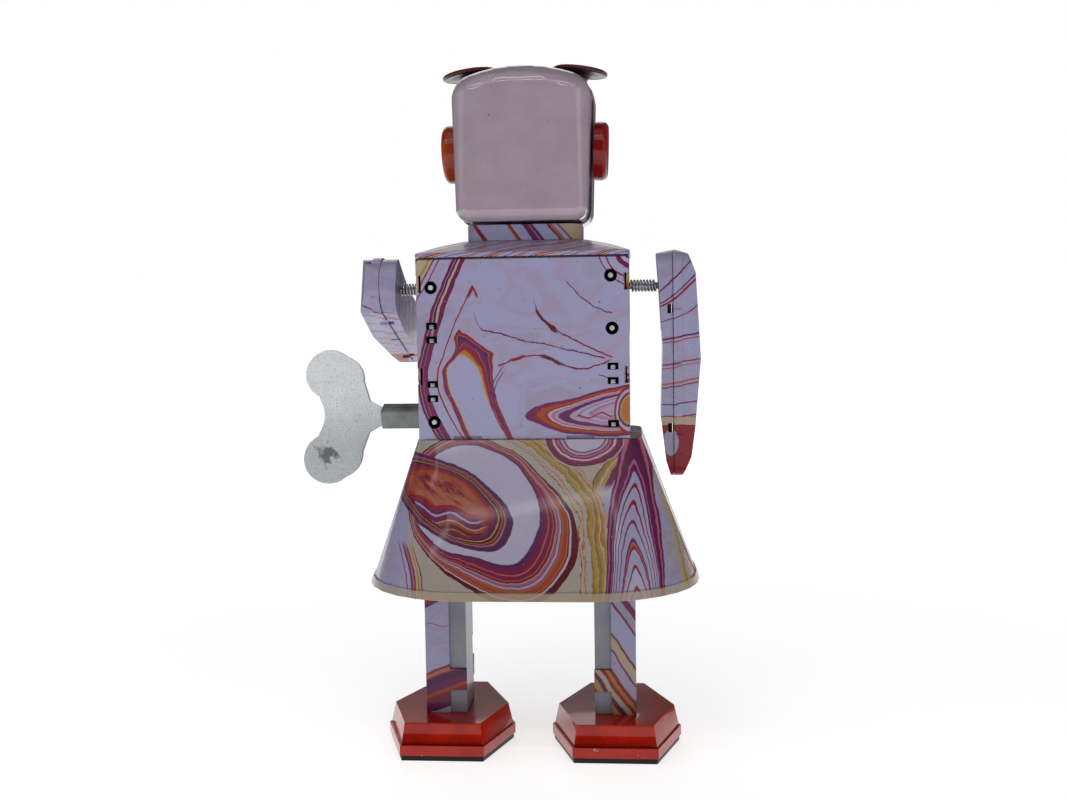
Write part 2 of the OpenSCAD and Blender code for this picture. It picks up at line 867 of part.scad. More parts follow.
module left_hip_pin() {
    color(steel) hip_pin();
}

module right_hip_pin() {
    color(steel) right_side() hip_pin();
}

// printed outer half of a leg: outer wall, half of the front and back, and ankle tabs
module leg_outer_shell() {
    difference() {
        block([leg_seam_x, leg_front_y, leg_low_z], [leg_out_x, leg_back_y, leg_high_z]);
        block([0, leg_front_y + tin, 0], [leg_out_x - tin, leg_back_y - tin, 100]);
        rod_x(hip_yz, hip_r + run, 10, 30);
    }
    for (y = [leg_front_y, leg_back_y - tin])
        block([leg_in_x - 0.1, y, ankle_z[0]], [leg_seam_x + 0.1, y + tin, ankle_z[1]]);
}

// plain inner channel: inner wall with the crank window, and the flanges behind the printed half
module leg_inner_channel() {
    window_y = crank_r + crank_pin_r + 2;
    window_z = crank_r + crank_pin_r + 0.8;
    back_y = leg_back_y - tin - 0.02;
    front_y = leg_front_y + tin + 0.02;
    difference() {
        union() {
            difference() {
                block([leg_in_x, front_y, leg_low_z], [leg_seam_x + 1.6, back_y, leg_high_z]);
                block([leg_in_x + tin, front_y + tin, 0], [30, back_y - tin, 100]);
            }
            for (y = [front_y + 1.2, back_y - 4.2])
                block([leg_in_x, y, foot_top_z - 1.4], [leg_in_x + tin, y + 3, leg_low_z + 0.5]);
        }
        rod_x(hip_yz, hip_r + run, 10, 30);
        block([leg_in_x - 1, crank_yz[0] - window_y, crank_z - window_z],
            [leg_in_x + 1, crank_yz[0] + window_y, crank_z + window_z]);
        block([leg_in_x - 1, front_y - 1, 17.3], [leg_in_x + 1, front_y + 0.9, 21.5]);
    }
}

module left_leg_outer_shell() {
    color(lilac) leg_outer_shell();
}

module right_leg_outer_shell() {
    color(lilac) right_side() leg_outer_shell();
}

module left_leg_inner_channel() {
    color(bare_tin) leg_inner_channel();
}

module right_leg_inner_channel() {
    color(bare_tin) right_side() leg_inner_channel();
}

// ---------- feet ----------

sole_t = 1.2;
bead_z = 3.3;
foot_back_y = 14.7;
foot_front_y = -13.9;
foot_mid_y = 1;
foot_back_w = 15.7;
foot_mid_w = 24.6;
foot_front_w = 12;
bead_out = 1;
rim_out = 1.45;

// six-sided outline of a foot, grown by g
module foot_outline(g) {
    back = foot_back_w / 2 + 0.6 * g;
    mid = foot_mid_w / 2 + g;
    front = foot_front_w / 2 + 0.6 * g;
    translate([leg_x, 0]) polygon([[-back, foot_back_y + g], [-mid, foot_mid_y],
        [-front, foot_front_y - g], [front, foot_front_y - g], [mid, foot_mid_y],
        [back, foot_back_y + g]]);
}

module foot_solid(g) {
    hull() {
        translate([0, 0, foot_top_z - 0.01 - g]) linear_extrude(0.01) foot_outline(-g);
        translate([0, 0, bead_z - g]) linear_extrude(0.01) foot_outline(bead_out - g);
    }
    translate([0, 0, sole_t - (g > 0 ? 1 : 0)])
        linear_extrude(bead_z - sole_t + (g > 0 ? 1 - g : 0)) foot_outline(rim_out - g);
}

module foot_shell() {
    difference() {
        foot_solid(0);
        foot_solid(tin);
        for (y = [leg_front_y + tin + 1.2, leg_back_y - tin - 4.2])
            block([leg_in_x - 0.15, y - 0.2, foot_top_z - 2],
                [leg_in_x + tin + 0.15, y + 3.2, foot_top_z + 1]);
    }
}

module foot_sole() {
    linear_extrude(sole_t) foot_outline(rim_out - 0.35);
}

module left_foot_shell() {
    color(crimson) foot_shell();
}

module right_foot_shell() {
    color(crimson) right_side() foot_shell();
}

module left_foot_sole() {
    color(black) foot_sole();
}

module right_foot_sole() {
    color(black) right_side() foot_sole();
}

head_back_cap();
head_front_shell();
left_ear_cap();
right_ear_cap();
left_top_dish();
right_top_dish();
neck_collar();
torso_top_cap();
torso_back_panel();
torso_front_shell();
left_side_frame();
right_side_frame();
frame_pins();
mounting_rods();
left_motor_plate();
right_motor_plate();
motor_pillars();
mainspring();
winding_arbor();
great_wheel();
key_shaft();
key_plate();
second_arbor();
second_wheel();
crank_shaft();
left_crank();
right_crank();
governor_shaft();
governor_flywheel();
arm_axle();
left_arm_spring();
right_arm_spring();
left_arm_outer_shell();
left_arm_inner_cover();
right_arm_outer_shell();
right_arm_inner_cover();
skirt_back();
skirt_front();
left_hip_pin();
right_hip_pin();
left_leg_outer_shell();
left_leg_inner_channel();
right_leg_outer_shell();
right_leg_inner_channel();
left_foot_shell();
left_foot_sole();
right_foot_shell();
right_foot_sole();
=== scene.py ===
"""Looks of a wind-up tin robot in marbled printed tinplate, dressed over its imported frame."""

import json
import logging
import math
from dataclasses import dataclass, field
from enum import Enum
from typing import Callable, Sequence

import bmesh
import bpy
from mathutils import Matrix, Vector

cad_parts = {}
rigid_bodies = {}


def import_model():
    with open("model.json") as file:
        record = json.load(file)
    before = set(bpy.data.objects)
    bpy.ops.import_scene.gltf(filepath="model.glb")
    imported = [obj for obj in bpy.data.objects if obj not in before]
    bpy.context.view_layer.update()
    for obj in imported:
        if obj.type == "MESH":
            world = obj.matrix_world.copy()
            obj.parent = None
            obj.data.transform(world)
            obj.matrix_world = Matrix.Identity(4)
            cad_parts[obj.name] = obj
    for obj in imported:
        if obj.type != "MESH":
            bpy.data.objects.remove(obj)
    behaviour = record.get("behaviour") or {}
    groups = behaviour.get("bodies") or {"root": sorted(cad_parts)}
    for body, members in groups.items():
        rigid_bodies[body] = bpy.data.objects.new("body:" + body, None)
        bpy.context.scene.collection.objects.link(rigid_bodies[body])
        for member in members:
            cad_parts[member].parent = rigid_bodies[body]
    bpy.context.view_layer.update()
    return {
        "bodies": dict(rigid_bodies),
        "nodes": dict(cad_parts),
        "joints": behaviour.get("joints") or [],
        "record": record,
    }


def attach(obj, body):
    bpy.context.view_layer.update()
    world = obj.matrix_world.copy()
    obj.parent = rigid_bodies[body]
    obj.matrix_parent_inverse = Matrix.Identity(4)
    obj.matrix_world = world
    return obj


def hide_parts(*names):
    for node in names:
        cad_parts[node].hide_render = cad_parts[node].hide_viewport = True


log = logging.getLogger("tin_robot")
MM = 0.001

Stop = tuple[float, str, float]
Swatch = tuple[float, "Ink"]


class Side(Enum):
    """The robot's own left or right."""

    LEFT = 1
    RIGHT = -1

    @property
    def word(self) -> str:
        """The side's name as it stands in node names."""
        return self.name.lower()


class Ink(Enum):
    """Printing inks and lacquers, as sRGB hex."""

    LILAC = "a19fc2"
    PALE = "b4adc6"
    GREY = "9c94ae"
    WARM = "a596b2"
    CREAM = "b3a189"
    BEIGE = "aaa096"
    YELLOW = "a8863c"
    OLIVE = "8f7230"
    MUSTARD = "ad6d22"
    ORANGE = "9e4016"
    SALMON = "a6604f"
    CLAY = "a8604a"
    HAND_RED = "850a1a"
    PINK = "a8607c"
    RED = "8e1210"
    CRIMSON = "7e1029"
    DARK = "5c0709"
    PURPLE = "66154f"
    VIOLET = "4d1a47"
    BLACK = "0b0a0b"

    @property
    def linear(self) -> tuple[float, float, float]:
        """The ink as linear colour."""
        return linear(self.value)


def linear(code: str) -> tuple[float, float, float]:
    """Turns a six-digit sRGB code into linear values.

    Args:
        code: The hex digits.

    Returns:
        Red, green and blue from 0 to 1.
    """
    out = []
    for k in (0, 2, 4):
        c = int(code[k:k + 2], 16) / 255
        out.append(c / 12.92 if c <= 0.04045 else ((c + 0.055) / 1.055) ** 2.4)
    return out[0], out[1], out[2]


class Sock:
    """A shader value that can be used in ordinary arithmetic."""

    def __init__(self, graph: "Graph", socket: bpy.types.NodeSocket) -> None:
        """Keeps the graph and the socket.

        Args:
            graph: The graph that makes further nodes.
            socket: The output to read.
        """
        self.graph = graph
        self.socket = socket

    def _op(self, name: str, *others: "Sock | float") -> "Sock":
        """Makes one Math node from this value and others."""
        return self.graph.math(name, self, *others)

    def __add__(self, o: "Sock | float") -> "Sock":
        """Sum."""
        return self._op("ADD", o)

    __radd__ = __add__

    def __sub__(self, o: "Sock | float") -> "Sock":
        """Difference."""
        return self._op("SUBTRACT", o)

    def __rsub__(self, o: "Sock | float") -> "Sock":
        """Difference, reflected."""
        return self.graph.math("SUBTRACT", o, self)

    def __mul__(self, o: "Sock | float") -> "Sock":
        """Product."""
        return self._op("MULTIPLY", o)

    __rmul__ = __mul__

    def __truediv__(self, o: "Sock | float") -> "Sock":
        """Quotient."""
        return self._op("DIVIDE", o)

    def __pow__(self, o: float) -> "Sock":
        """Power."""
        return self._op("POWER", o)

    def __neg__(self) -> "Sock":
        """Negative."""
        return self._op("MULTIPLY", -1.0)

    def __abs__(self) -> "Sock":
        """Size without sign."""
        return self._op("ABSOLUTE")

    def sin(self) -> "Sock":
        """Sine."""
        return self._op("SINE")

    def root(self) -> "Sock":
        """Square root."""
        return self._op("SQRT")

    def fract(self) -> "Sock":
        """Fraction."""
        return self._op("FRACT")

    def least(self, o: "Sock | float") -> "Sock":
        """The lesser of two."""
        return self._op("MINIMUM", o)

    def most(self, o: "Sock | float") -> "Sock":
        """The greater of two."""
        return self._op("MAXIMUM", o)

    def step(self, low: float, high: float) -> "Sock":
        """Smooth rise from 0 at low to 1 at high."""
        return self.graph.remap(self, low, high)


class Graph:
    """A material's node tree, with short ways to add nodes."""

    def __init__(self, name: str) -> None:
        """Starts a material with a Principled shader.

        Args:
            name: The material's name.
        """
        self.material = bpy.data.materials.new(name)
        self.material.use_nodes = True
        self.tree = self.material.node_tree
        self.tree.nodes.clear()
        self.out = self.tree.nodes.new("ShaderNodeOutputMaterial")
        self.shader = self.tree.nodes.new("ShaderNodeBsdfPrincipled")
        self.tree.links.new(self.shader.outputs[0], self.out.inputs["Surface"])
        coords = self.tree.nodes.new("ShaderNodeTexCoord")
        self.metres = Sock(self, coords.outputs["Object"])
        self.place = self.vector("SCALE", self.metres, scale=1000.0)
        self.x, self.y, self.z = self.split(self.place)

    def node(self, kind: str, settings: dict | None = None, values: dict | None = None) -> bpy.types.Node:
        """Adds a node, sets its settings, then its values and links.

        Args:
            kind: The node type.
            settings: Attributes set before anything else.
            values: Inputs by name or index, as numbers or Socks.

        Returns:
            The node.
        """
        n = self.tree.nodes.new(kind)
        for key, value in (settings or {}).items():
            setattr(n, key, value)
        for key, value in (values or {}).items():
            self.put(n.inputs[key], value)
        return n

    def put(self, socket: bpy.types.NodeSocket, value: "Sock | float | Sequence[float]") -> None:
        """Links or sets one input."""
        if isinstance(value, Sock):
            self.tree.links.new(value.socket, socket)
        else:
            socket.default_value = value

    def math(self, name: str, *args: "Sock | float") -> Sock:
        """Adds a Math node."""
        return Sock(self, self.node("ShaderNodeMath", {"operation": name}, dict(enumerate(args))).outputs[0])

    def vector(self, name: str, *args: "Sock | Sequence[float]", scale: float | None = None) -> Sock:
        """Adds a Vector Math node."""
        values: dict = dict(enumerate(args))
        if scale is not None:
            values["Scale"] = scale
        return Sock(self, self.node("ShaderNodeVectorMath", {"operation": name}, values).outputs[0])

    def split(self, v: Sock) -> tuple[Sock, Sock, Sock]:
        """Takes a vector apart."""
        n = self.node("ShaderNodeSeparateXYZ", None, {0: v})
        return Sock(self, n.outputs[0]), Sock(self, n.outputs[1]), Sock(self, n.outputs[2])

    def join(self, x: "Sock | float", y: "Sock | float", z: "Sock | float") -> Sock:
        """Puts a vector together."""
        return Sock(self, self.node("ShaderNodeCombineXYZ", None, {0: x, 1: y, 2: z}).outputs[0])

    def remap(self, v: Sock, low: float, high: float) -> Sock:
        """Smoothly maps low..high to 0..1."""
        n = self.node("ShaderNodeMapRange", {"interpolation_type": "SMOOTHSTEP"},
                      {0: v, 1: low, 2: high, 3: 0.0, 4: 1.0})
        return Sock(self, n.outputs[0])

    def noise(self, at: Sock, scale: float, detail: float = 2.0, rough: float = 0.5,
              twist: float = 0.0) -> tuple[Sock, Sock]:
        """Adds a noise texture.

        Args:
            at: Where to read it, in millimetres.
            scale: Cells per millimetre.
            detail: Octaves.
            rough: Roughness.
            twist: Distortion.

        Returns:
            The value and the colour as a vector.
        """
        n = self.node("ShaderNodeTexNoise", None, {"Vector": at, "Scale": scale, "Detail": detail,
                                                   "Roughness": rough, "Distortion": twist})
        return Sock(self, n.outputs[0]), Sock(self, n.outputs[1])

    def ramp(self, t: Sock, stops: Sequence[Stop], hard: bool = False) -> tuple[Sock, Sock]:
        """Adds a colour ramp.

        Args:
            t: The factor.
            stops: Position, sRGB code and alpha of each stop.
            hard: True for steps without blending.

        Returns:
            The colour and its alpha.
        """
        n = self.node("ShaderNodeValToRGB", None, {0: t})
        ramp = n.color_ramp
        ramp.interpolation = "CONSTANT" if hard else "LINEAR"
        while len(ramp.elements) > 1:
            ramp.elements.remove(ramp.elements[-1])
        for i, (pos, code, alpha) in enumerate(stops):
            e = ramp.elements[0] if i == 0 else ramp.elements.new(pos)
            e.position = pos
            e.color = (*linear(code), alpha)
        return Sock(self, n.outputs[0]), Sock(self, n.outputs[1])

    def mix(self, fac: "Sock | float", a: "Sock | Sequence[float]", b: "Sock | Sequence[float]",
            blend: str = "MIX") -> Sock:
        """Mixes two colours."""
        n = self.node("ShaderNodeMix", {"data_type": "RGBA", "blend_type": blend})
        for socket, value in ((n.inputs[0], fac), (n.inputs[6], a), (n.inputs[7], b)):
            if not isinstance(value, Sock) and isinstance(value, (tuple, list)) and len(value) == 3:
                value = (*value, 1.0)
            self.put(socket, value)
        return Sock(self, n.outputs[2])

    def bump(self, height: Sock, distance: float, strength: float = 1.0,
             under: "Sock | None" = None) -> Sock:
        """Turns a height into a normal.

        Args:
            height: The height, 0 to 1.
            distance: Its depth in millimetres.
            strength: How strong it shows.
            under: A normal to build on.

        Returns:
            The normal.
        """
        values: dict = {"Strength": strength, "Distance": distance * MM, "Height": height}
        if under is not None:
            values["Normal"] = under
        return Sock(self, self.node("ShaderNodeBump", None, values).outputs[0])

    def shade(self, **values: "Sock | float | Sequence[float]") -> None:
        """Sets or links the shader's sockets, by name with underscores for spaces."""
        for key, value in values.items():
            if not isinstance(value, Sock) and isinstance(value, tuple) and len(value) == 3:
                value = (*value, 1.0)
            self.put(self.shader.inputs[key.replace("_", " ")], value)


# ---------- printed marbling ----------

def swatches(text: str) -> list[Swatch]:
    """Reads places and inks, written as "0.1 red, 0.4 cream"."""
    pairs = (item.split() for item in text.split(","))
    return [(float(at), Ink[name.upper()]) for at, name in pairs]


def bands(marks: "str | Sequence[Swatch]", soft: float = 0.012) -> list[Stop]:
    """Turns solid bands into ramp stops with short blends and clear ends.

    Args:
        marks: Where each band starts and its ink; the last start closes the last band.
        soft: Half the length of the blend between bands.

    Returns:
        Ramp stops from clear to clear.
    """
    stops = swatches(marks) if isinstance(marks, str) else marks
    out: list[Stop] = [(max(0.0, stops[0][0] - soft), stops[0][1].value, 0.0)]
    for i in range(len(stops) - 1):
        at, ink = stops[i]
        end = stops[i + 1][0]
        half = min(soft, (end - at) * 0.3)
        out += [(at + half, ink.value, 1.0), (end - half, ink.value, 1.0)]
    out.append((min(1.0, stops[-1][0] + soft), stops[-2][1].value, 0.0))
    return out


def solid(text: str) -> list[Stop]:
    """Ramp stops that blend from one ink to the next."""
    return [(at, ink.value, 1.0) for at, ink in swatches(text)]


def filled(middle: str, marks: str, soft: float = 0.006) -> list[Stop]:
    """Bands round a solid middle.

    Args:
        middle: Places and inks of the middle, from its centre out.
        marks: The bands, as in bands().
        soft: Half the length of the blend between bands.

    Returns:
        Ramp stops that are solid from 0 to the last band.
    """
    return solid(middle) + bands(marks, soft)[1:]


@dataclass
class Paint:
    """A print being laid down: the colour so far and the flat place it is read at, in millimetres."""

    g: Graph
    colour: Sock
    u: Sock
    v: Sock

    def lay(self, t: Sock, stops: Sequence[Stop], mask: "Sock | float" = 1.0) -> None:
        """Lays a ramp over the print.

        Args:
            t: The ramp's factor.
            stops: Its stops, whose alpha says where it covers.
            mask: Where it is allowed.
        """
        colour, alpha = self.g.ramp(t, stops)
        self.colour = self.g.mix(alpha * mask, self.colour, colour)

    def thread(self, d: Sock, half: float, ink: Ink, mask: "Sock | float" = 1.0) -> None:
        """Lays a thin vein where d is near 0."""
        cover = 1 - abs(d).step(half * 0.55, half)
        self.colour = self.g.mix(cover * mask, self.colour, ink.linear)

    def nest(self, cu: "Sock | float", cv: "Sock | float", a: float, b: float, turn: float = 0.0,
             power: float = 2.0) -> Sock:
        """Level of nested rounded rings: 0 in the middle and 1 on the outer ring.

        Args:
            cu: Middle across.
            cv: Middle up.
            a: Half size along the turned axis.
            b: Half size across it.
            turn: Turn in degrees.
            power: 2 for an ellipse, less for a pointed shape.

        Returns:
            The level.
        """
        s, c = math.sin(math.radians(turn)), math.cos(math.radians(turn))
        du, dv = self.u - cu, self.v - cv
        p = abs(du * c + dv * s) / a
        q = abs(dv * c - du * s) / b
        return (p ** power + q ** power) ** (1 / power)

    def within(self, low_u: float, high_u: float, low_v: float, high_v: float, soft: float = 0.6) -> Sock:
        """A soft-edged window."""
        across = self.u.step(low_u - soft, low_u + soft) * (1 - self.u.step(high_u - soft, high_u + soft))
        up = self.v.step(low_v - soft, low_v + soft) * (1 - self.v.step(high_v - soft, high_v + soft))
        return across * up


def poured(g: Graph, at: Sock, scale: float, seed: Sequence[float], calm: float = 0.0) -> Sock:
    """All-over poured marbling made of nested levels of a folded noise.

    Args:
        g: The graph.
        at: Where to read it, in millimetres.
        scale: Cells per millimetre.
        seed: A shift that picks the part of the pattern.
        calm: 0 for a busy print, up to 1 for mostly plain lilac.

    Returns:
        The colour.
    """
    moved = g.vector("ADD", at, seed)
    bend = g.noise(moved, scale * 0.9, 1.0)[1]
    folded = g.vector("ADD", moved, g.vector("SCALE", g.vector("SUBTRACT", bend, (0.5, 0.5, 0.5)), scale=9.0))
    ragged = g.noise(moved, scale * 9, 2.0)[0] * 0.02 - 0.01
    level = g.noise(folded, scale, 1.2, 0.4)[0] + ragged
    width = 1 - 0.55 * calm
    low = 0.5 - 0.13 * width
    order = swatches(
        "0 crimson, 0.1 pale, 0.14 purple, 0.26 lilac, 0.3 red, 0.38 orange, 0.46 yellow, 0.5 cream, "
        "0.6 pink, 0.64 crimson, 0.7 lilac, 0.8 purple, 0.84 warm, 0.93 red, 1 red")
    stops = [(low + place * 0.26 * width, ink) for place, ink in order]
    colour, alpha = g.ramp(level, bands(stops, 0.002))
    ground = g.mix(level.step(0.3, 0.7), Ink.LILAC.linear, Ink.WARM.linear)
    return g.mix(alpha, ground, colour)


def start_print(g: Graph, u: Sock, v: Sock, at: Sock) -> Paint:
    """Starts a print on a lilac ground, with a gently wandering place.

    Args:
        g: The graph.
        u: Across, in millimetres.
        v: Up, in millimetres.
        at: The place for the wander.

    Returns:
        The print.
    """
    wide = g.split(g.noise(at, 0.09, 1.0)[1])
    fine = g.split(g.noise(at, 0.55, 2.0)[1])
    u = u + (wide[0] - 0.5) * 2.2 + (fine[0] - 0.5) * 0.5
    v = v + (wide[1] - 0.5) * 2.2 + (fine[1] - 0.5) * 0.5
    cloud = g.noise(g.join(u * 0.6, v, 0.0), 0.11, 2.0, 0.5, 0.8)[0]
    ground = g.ramp(cloud, solid("0 lilac, 0.46 lilac, 0.52 warm, 0.58 lilac, 0.66 grey"))[0]
    return Paint(g, ground, u, v)


def print_panel(g: Graph) -> Sock:
    """The back panel's print: a striped bow, a flame arch, side bands and fine crackled veins."""
    p = start_print(g, -g.x, g.z, g.place)
    i, u, v = Ink, p.u, p.v
    # striped bow down the key side
    h = v - 79
    d = u - (-20.1 + 0.0216 * h * h - 0.000375 * h * h * h)
    p.lay((d + 1.4) / 2.8, bands(
        "0.02 crimson, 0.1 purple, 0.24 warm, 0.28 violet, 0.4 purple, 0.48 crimson, 0.54 pink, "
        "0.58 purple, 0.78 crimson, 0.86 purple, 0.97 purple"))
    p.thread(d - 0.1, 0.3, i.CREAM, v.step(86, 90))
    # cream and mustard stripes in the corner above it
    s = 0.894 * (u + 17) - 0.447 * (v - 102.4)
    p.lay((s + 4.4) / 5, bands(
        "0 red, 0.16 cream, 0.36 beige, 0.5 yellow, 0.6 cream, 0.68 red, 0.73 lilac, 0.86 crimson, "
        "0.9 crimson", 0.02), v.step(91, 95))
    # thin outer line with its small filled peak
    h = v - 78
    d = u - (-16.6 + 0.0271 * h * h - 0.00051 * h * h * h)
    p.thread(d, 0.2, i.RED, 1 - v.step(97, 98))
    tip = 98 - v - 2.3 * abs(u + 9.9)
    p.lay(tip / 4, bands("0.02 red, 0.3 red"), v.step(94.6, 95.6))
    # flame arch round a bluish tongue that trails off to the right
    q = (84.2 - v).most(0)
    mid = -12.2 + 0.016 * q * q
    lean = u - mid
    core = 2.3 + 0.28 * q.root()
    up = (v - 80.3).most(0) / 3.1
    right = lean.step(-0.6, 0.9)
    crown = (v - 79.5).step(0, 8)
    across = abs(lean) / (core * (1 - 0.4 * (1 - right) * crown))
    level = (across ** 1.4 + up ** 1.4) ** (1 / 1.4)
    shoulder = 1 - (abs(v - 83.5) / 4.5).least(1)
    squeeze = (1 - right) * (5.0 - 4.1 * crown) + right * (1.1 + 0.14 * q - 0.4 * shoulder)
    p.lay(((level - 1) * squeeze + 1) / 3, filled(
        "0 lilac, 0.325 lilac",
        "0.33 cream, 0.345 yellow, 0.38 mustard, 0.45 red, 0.52 crimson, 0.6 pink, 0.612 purple, "
        "0.7 violet, 0.76 pink, 0.775 red, 0.87 red"))
    # side bands that open to the right, and the eye on the edge
    level = p.nest(23.0, 70.9 + 0.0045 * (u - 4) * (u - 4), 22.9, 5.4, 0, 1.7)
    p.lay(level / 1.1, filled(
        "0 lilac, 0.3 warm",
        "0.38 pink, 0.395 lilac, 0.47 red, 0.48 warm, 0.55 purple, 0.64 warm, 0.67 pink, 0.7 pale, "
        "0.725 red, 0.75 orange, 0.81 red, 0.84 purple, 0.9 purple"))
    squiggle = v - (70.6 + 0.09 * (u - 12) + 0.5 * (u * 1.3).sin())
    p.thread(squiggle, 0.22, i.RED, p.within(10.5, 18.5, 66, 76))
    level = p.nest(21.8, 72.1, 3.3, 5.0)
    p.lay(level / 1.1, filled(
        "0 salmon, 0.45 mustard",
        "0.5 yellow, 0.58 purple, 0.68 lilac, 0.8 red, 0.92 red", 0.01))
    # arcs in the far corner
    level = p.nest(22.3, 104.0, 7.0, 7.4)
    p.lay(level / 1.1, bands(
        "0 pink, 0.2 purple, 0.32 pale, 0.42 purple, 0.5 red, 0.54 lilac, 0.72 red, 0.76 lilac, "
        "0.88 crimson, 0.91 crimson", 0.008))
    # crackle vein and its fine branches
    jag = (g.noise(g.place, 0.9, 3.0)[0] - 0.5) * 1.3
    run = (u - 2.3).most(0)
    d = v - (94.2 - 2.9 * run.root()) + jag * (1 - u.step(8, 12))
    p.thread(d, 0.62, i.DARK, p.within(2.4, 7.0, 80, 98, 0.5))
    p.thread(d, 0.2, i.CRIMSON, p.within(6.5, 17.4, 80, 98, 0.3))
    d = v - (82 + 1.3 * ((u + 3) * 0.33).sin()) + jag * 0.4
    p.thread(d, 0.2, i.CRIMSON, p.within(-5.2, 17, 78, 87, 0.3))
    p.thread(d, 0.5, i.DARK, p.within(3.6, 7.6, 78, 87, 0.8))
    p.thread(d, 0.45, i.CRIMSON, p.within(-2.4, 0.4, 78, 87, 0.5))
    left = (-8 - u).most(0)
    d = v - (88.2 - 0.24 * (u + 7) + 1.3 * left * left.root()) + jag * 0.5
    p.thread(d, 0.18, i.PURPLE, p.within(-10.4, 16, 80, 92, 0.3))
    far = u - 8.7
    d = v - (98.1 - 1.15 * far + 0.05 * far * far) + jag * 0.4
    p.thread(d, 0.17, i.PURPLE, p.within(8.9, 18, 88, 99, 0.3))
    h = v - 74.5
    d = u - (-6.8 + 0.064 * h * h)
    p.thread(d, 0.16, i.PURPLE, 1 - v.step(80.5, 82))
    p.thread(d - 0.8, 0.15, i.PURPLE, 1 - v.step(79.5, 81))
    d = v - (79.2 - 0.2 * (u - 16)) + jag * 0.4
    p.thread(d, 0.15, i.PURPLE, p.within(15, 18, 76, 81, 0.3))
    # painted shadow in the gap under the shoulder cap: a black line along the panel's top edge
    return g.mix(g.z.step(102.55, 102.75) * 0.9, p.colour, i.BLACK.linear)


